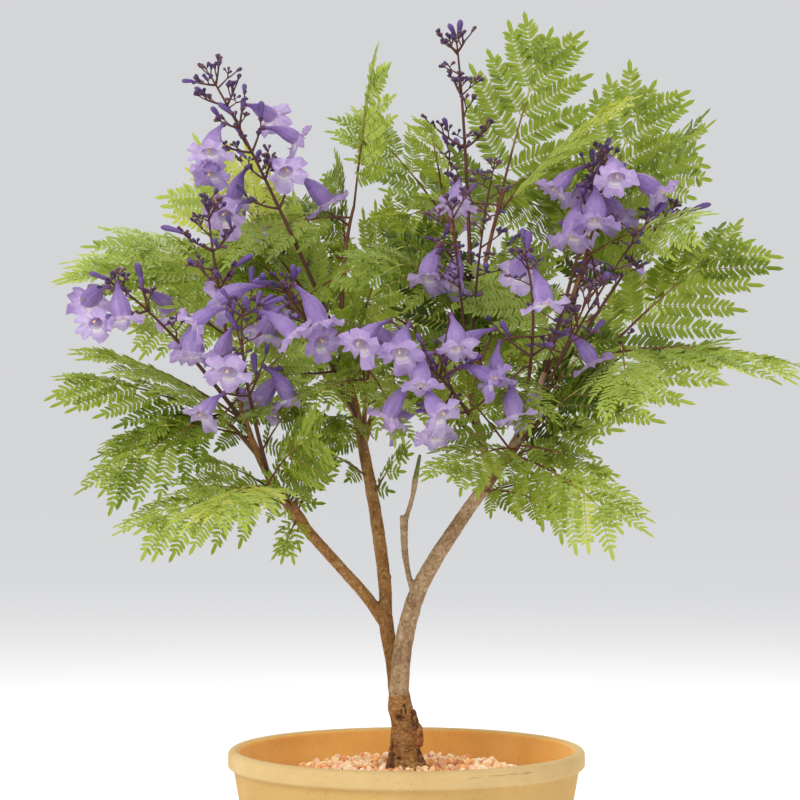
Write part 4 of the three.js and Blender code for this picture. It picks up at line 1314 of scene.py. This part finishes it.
def make_leaves():
    stalks = Pile()
    for side, names in by_side(SHOOTS, LEAF_SIDES, "middle").items():
        leaves = Pile()
        for name in names:
            spec = SHOOTS[name]
            stem = stem_of(*spec[:3])
            paint = [STALK_BROWN] * 9 + [STALK_MAROON] * 4
            add_stem(stalks, stem, STEM_RADII, 14, 8, paint)
            rng = np.random.default_rng(spec[5])
            for base, tip, roll, tone, lean in shoot_leaves(spec, stem):
                add_leaf(leaves, stalks, base, tip, roll, tone, rng, lean)
        if side == "middle":
            rng = np.random.default_rng(YOUNG_SEED)
            for limb, share, tip, tone, *lean in YOUNG_LEAVES:
                base, _, _ = limb_at(limb, share)
                roll = rng.uniform(-YOUNG_ROLL, YOUNG_ROLL)
                add_leaf(leaves, stalks, base, tip, roll, TONES[tone], rng, *lean)
        take(leaves.made("leaves_" + side, LEAVES), "leaf", *names)
    take(stalks.made("leaf_stalks", STALKS), "leaf")


make_leaves()


# Flowers

def add_flower(pile, root, heading, face, size, rng):
    """A curved trumpet of five ruffled lobes, with its pale throat, stamen and calyx."""
    heading, face = unit(heading), unit(face)
    shares = TUBE_STATIONS / TUBE_STATIONS[-1]
    side = unit(heading - face * (heading @ face))
    spine = Bend(root, root + face * size * TUBE_LENGTH, side, TUBE_BEND)
    centres = spine.points(shares)
    along = spine.headings(shares)
    up = UP + 0.4 * heading
    up = unit(up - along * (along @ up)[:, None])
    right = np.cross(along, up)
    columns = LOBES * LOBE_COLUMNS
    angles = LOBE_TURN + ring_angles(columns)
    radii = TUBE_RADII * size
    out = right[:, None] * np.cos(angles)[:, None] + up[:, None] * TUBE_FLAT * np.sin(angles)[:, None]
    centres = centres - 0.14 * radii[:, None] * up
    ribs = 1 + 0.045 * np.cos(LOBES * 2 * angles + rng.uniform(0, 6))
    tube = centres[:, None] + out * radii[:, None, None] * ribs[:, None]
    rows = lobe_rows(tube[-1], centres[-1], along[-1], right[-1], up[-1], angles, size, rng)
    rings = np.concatenate([tube, rows])
    streak = np.repeat(rng.normal(0, 0.3, columns // 2), 2)
    tube_tone = np.interp(shares[:-1], TONE_STATIONS, TUBE_TONES)
    ring_tone = np.concatenate([tube_tone, np.linspace(*LOBE_TONES, LOBE_STEPS)])
    tone = ring_tone[:, None] + streak[None] + rng.normal(0, 0.5)
    tone = np.clip(np.round(tone), 0, PALEST)
    lip = np.flatnonzero(np.abs(angles - 1.5 * math.pi) < LIP_HALF)
    tone[len(tube) - 1, lip] = THROAT
    tone[len(tube), lip] = PALEST
    pile.add(rings, grid_faces(len(rings), columns), tone.astype(int).ravel())
    # The throat's liner: white below, as the real throat is, and pale lilac above, the throat's own pale
    # colour painted lighter than the tube, as painted light against the shade deep inside it.
    narrow = np.linspace(*THROAT_IN, len(tube) - INNER_FIRST)[:, None, None]
    throat = mix(centres[INNER_FIRST:, None], tube[INNER_FIRST:], narrow)
    below = np.where(np.sin(angles) < THROAT_EDGE, THROAT, PALEST - 1)
    pile.add(throat, grid_faces(len(throat), columns)[:, ::-1], np.tile(below, len(throat) - 1))
    deep = slice(INNER_FIRST + 1, None)
    stamen = centres[deep] + up[deep] * (radii[deep] * 0.3)[:, None]
    tip = stamen[-1] + along[-1] * 0.06 * size
    add_tube(pile, [*stamen, tip], np.linspace(*STAMEN_RADII, len(stamen) + 1), 5, STAMEN)
    add_tube(pile, spine.points(CALYX_STATIONS), CALYX_RADII, 6, CALYX)


def lobe_rows(rim, centre, along, right, up, angles, size, rng):
    """Rings of points that carry the trumpet's rim out into five lobes, two up and three down."""
    columns = len(angles)
    index = np.arange(columns) // LOBE_COLUMNS
    across = (np.arange(columns) % LOBE_COLUMNS) / LOBE_COLUMNS * 2 - 1
    extent = 0.46 + 0.54 * np.sqrt(np.maximum(1 - np.abs(across) ** 2.3, 0))
    sizes = np.array(LOBE_SIZES) * rng.uniform(0.82, 1.18, LOBES)
    lengths = LOBE_LENGTH * size * sizes[index] * extent
    flare = (np.array(LOBE_FLARE) + rng.normal(0, 0.3, LOBES))[index]
    phase = rng.uniform(0, 2 * math.pi, (2, LOBES))[:, index]
    outward = unit(rim - centre)
    middle = angles - across * math.pi / LOBES
    squeeze = right * np.cos(middle)[:, None] + up * np.sin(middle)[:, None]
    rows = []
    place = rim
    for step in range(1, LOBE_STEPS + 1):
        t = step / LOBE_STEPS
        lean = mix(0.75, flare, t)
        away = unit(mix(outward, squeeze, 0.1 * t))
        move = np.cos(lean)[:, None] * along + np.sin(lean)[:, None] * away
        place = place + move * (lengths / LOBE_STEPS)[:, None]
        ruffle = np.sin(across * 1.8 * math.pi + phase[0])
        ruffle = ruffle + 0.35 * np.sin(across * 3.2 * math.pi + phase[1])
        normal = np.cos(lean)[:, None] * away - np.sin(lean)[:, None] * along
        rows.append(place + normal * (LOBE_RUFFLE * size * t**1.4 * ruffle)[:, None])
    return np.array(rows)


def add_bud(pile, root, heading, length, paint):
    """A closed bud that swells to a club with a blunt point."""
    shares = BUD_STATIONS[:, None]
    radii = BUD_RADII * (1.05 + 0.06 * length) * min(1, 0.35 + 0.16 * length)
    line = root + unit(heading) * (shares * length) - UP * (0.2 * length * shares**2)
    add_tube(pile, line, radii, 6, paint)


def add_cyme(buds, stalks, knee, way, large_share, rng):
    """A small fork that ends in a few buds of different ages."""
    far = knee + unit(way) * rng.uniform(2.5, 6)
    middle = (knee + far) / 2 - 0.2 * UP
    add_tube(stalks, [knee, middle, far], CYME_RADII, 4, TWIG_PURPLE, capped=False)
    for turn in (-0.9, 0, 0.9):
        out = unit(turned(unit(way), UP, turn + rng.normal(0, 0.25)) + UP * rng.uniform(-0.2, 0.6))
        end = far + out * rng.uniform(0.8, 3)
        add_tube(stalks, [far, end], BUD_STALK, 4, TWIG_PURPLE, capped=False)
        large = rng.uniform() < large_share
        length = rng.uniform(*(BUD_LARGE if large else BUD_SMALL))
        paint = BUD_VIOLET if large else rng.choice([BUD_DARK, BUD_BROWN])
        add_bud(buds, end, out, length, paint)


def panicle_twigs(spec, stem):
    """The side twigs of a panicle by the part's own rule."""
    _, _, _, first_at, nodes, open_share, seed = spec
    draw = seeded(seed)
    for node in range(nodes):
        share = node / (nodes - 1)
        station = mix(first_at, PANICLE_LAST, share)
        root, along = stem.points(station), stem.headings(station)
        first = unit(np.array([1.0, 0, 0]) - along * along[0])
        second = np.cross(along, first)
        spin = node * 1.35 + draw() * 0.9
        for hand in (0, math.pi):
            turn = spin + hand + (draw() - 0.5) * 0.7
            reach = PANICLE_SPREAD * (1 - PANICLE_TAPER * station) * mix(0.8, 1.25, draw())
            out = first * math.cos(turn) + second * math.sin(turn)
            end = root + out * reach + along * TWIG_RISE * reach
            droop = mix(*FLOWER_DROOP, draw())
            size = mix(*FLOWER_LENGTH, draw())
            aside = FLOWER_TURN if stem.end[1] > LEAN_DEPTH else -FLOWER_TURN
            flat = unit(np.array([out[0], out[1] + aside, 0]))
            face = flat * math.cos(droop) - UP * math.sin(droop)
            yield root, end, face, size, share < open_share or open_share == 1


def add_panicle(flowers, buds, stalks, name):
    spec = PANICLES[name]
    stem = stem_of(*spec[:3])
    rng = np.random.default_rng(spec[6])
    add_stem(stalks, stem, PANICLE_RADII, 16, 7, TWIG_MAROON)
    for root, end, face, size, opens in panicle_twigs(spec, stem):
        twig = Bend(root, end, UP, -0.08)
        add_stem(stalks, twig, TWIG_RADII, 6, 5, TWIG_MAROON)
        heading = twig.headings(1.0)
        if opens:
            add_flower(flowers, end, heading, face, size, rng)
        if opens and rng.uniform() < SECOND_FLOWER:
            side = turned(heading, UP, rng.choice([-1, 1]) * rng.uniform(0.7, 1.2))
            knee = twig.points(0.55)
            far = knee + side * rng.uniform(7, 12)
            middle = (knee + far) / 2 - 0.4 * UP
            add_tube(stalks, [knee, middle, far], SECOND_RADII, 5, TWIG_MAROON)
            lean = unit(turned(face, UP, rng.normal(0, 0.5)) - UP * rng.uniform(-0.2, 0.5))
            add_flower(flowers, far, side, lean, size * rng.uniform(0.8, 0.95), rng)
        for share in np.linspace(0.5, 1, OPEN_CYMES if opens else CLOSED_CYMES):
            way = turned(heading, UP, rng.uniform(-1.3, 1.3)) + UP * rng.uniform(-0.3, 0.6)
            add_cyme(buds, stalks, twig.points(share), way, LARGE_BUDS[opens], rng)
    for station, end, face in SIDE_FLOWERS.get(name, ()):
        twig = Bend(stem.points(station), end, UP, 0.1)
        add_stem(stalks, twig, TWIG_RADII, 6, 5, TWIG_MAROON)
        add_flower(flowers, twig.end, twig.headings(1.0), face, rng.uniform(*FLOWER_LENGTH), rng)
    add_forks(buds, stalks, stem, *STEM_FORKS, rng)


def add_forks(buds, stalks, stem, first, count, reach, rng):
    """Side forks of small buds along a stem, and three more at its tip."""
    for share in np.linspace(first, FORK_LAST, count):
        way = heading_of(rng.uniform(-3.0, -0.1), rng.uniform(0.1, 1.0))
        knee = stem.points(share) + way * rng.uniform(*reach)
        add_tube(stalks, [stem.points(share), knee], FORK_RADII, 4, TWIG_MAROON, capped=False)
        for turn in (-0.8, 0.8):
            add_cyme(buds, stalks, knee, turned(way, UP, turn), LARGE_BUDS[0], rng)
    top, way = stem.points(1.0), stem.headings(1.0)
    for turn in (0.4, 2.5, 4.6):
        add_cyme(buds, stalks, top - way, unit(way + 0.6 * heading_of(turn, 0)), LARGE_BUDS[0], rng)


def add_sprays(buds, stalks):
    rng = np.random.default_rng(SPRAY_SEED)
    for limb, share, end in BUD_SPRAYS:
        stem = stem_of(limb, share, end)
        add_stem(stalks, stem, SPRAY_RADII, 12, 6, TWIG_MAROON)
        add_forks(buds, stalks, stem, *SPRAY_FORKS, rng)


def make_blossom():
    stalks = Pile()
    buds = Pile()
    add_sprays(buds, stalks)
    for side, names in by_side(PANICLES, BLOSSOM_SIDES, "right").items():
        flowers = Pile()
        for name in names:
            add_panicle(flowers, buds, stalks, name)
        take(flowers.made("blossom_" + side, PETALS), "blossom", *names)
    take(buds.made("flower_buds", BUDS), "blossom")
    take(stalks.made("flower_stalks", PANICLE_STALKS), "blossom")


make_blossom()


# Stage, light and camera

def make_stage():
    mesh = bpy.data.meshes.new("floor")
    corners = [(x * FLOOR_HALF, y * FLOOR_HALF, 0) for x, y in ((-1, -1), (1, -1), (1, 1), (-1, 1))]
    mesh.from_pydata(corners, [], [(0, 1, 2, 3)])
    floor = new_object("floor", mesh)
    set_materials(mesh, [plain_paint("floor", WHITE, 1.0, 0.0)])


def add_light(name, place, target, size, power, colour):
    data = bpy.data.lights.new(name, "AREA")
    data.energy = power
    data.size = size
    data.color = colour
    light = new_object(name, data)
    light.location = place
    light.rotation_euler = (Vector(target) - Vector(place)).to_track_quat("-Z", "Y").to_euler()


def make_light():
    world = bpy.data.worlds.new("studio")
    world.use_nodes = True
    back = world.node_tree.nodes["Background"]
    back.inputs["Color"].default_value = SKY_COLOUR
    back.inputs["Strength"].default_value = SKY_POWER
    bpy.context.scene.world = world
    for name, setting in LIGHTS.items():
        add_light(name, *setting)


def make_camera():
    data = bpy.data.cameras.new("camera")
    data.sensor_width = SENSOR
    data.lens = SENSOR * FOCAL_PIXELS / FRAME_PIXELS
    camera = new_object("camera", data)
    camera.location = CAMERA_PLACE
    camera.rotation_euler = (math.pi / 2, 0, 0)
    bpy.context.scene.camera = camera
    bpy.context.scene.view_settings.view_transform = "Standard"


make_stage()
make_light()
make_camera()
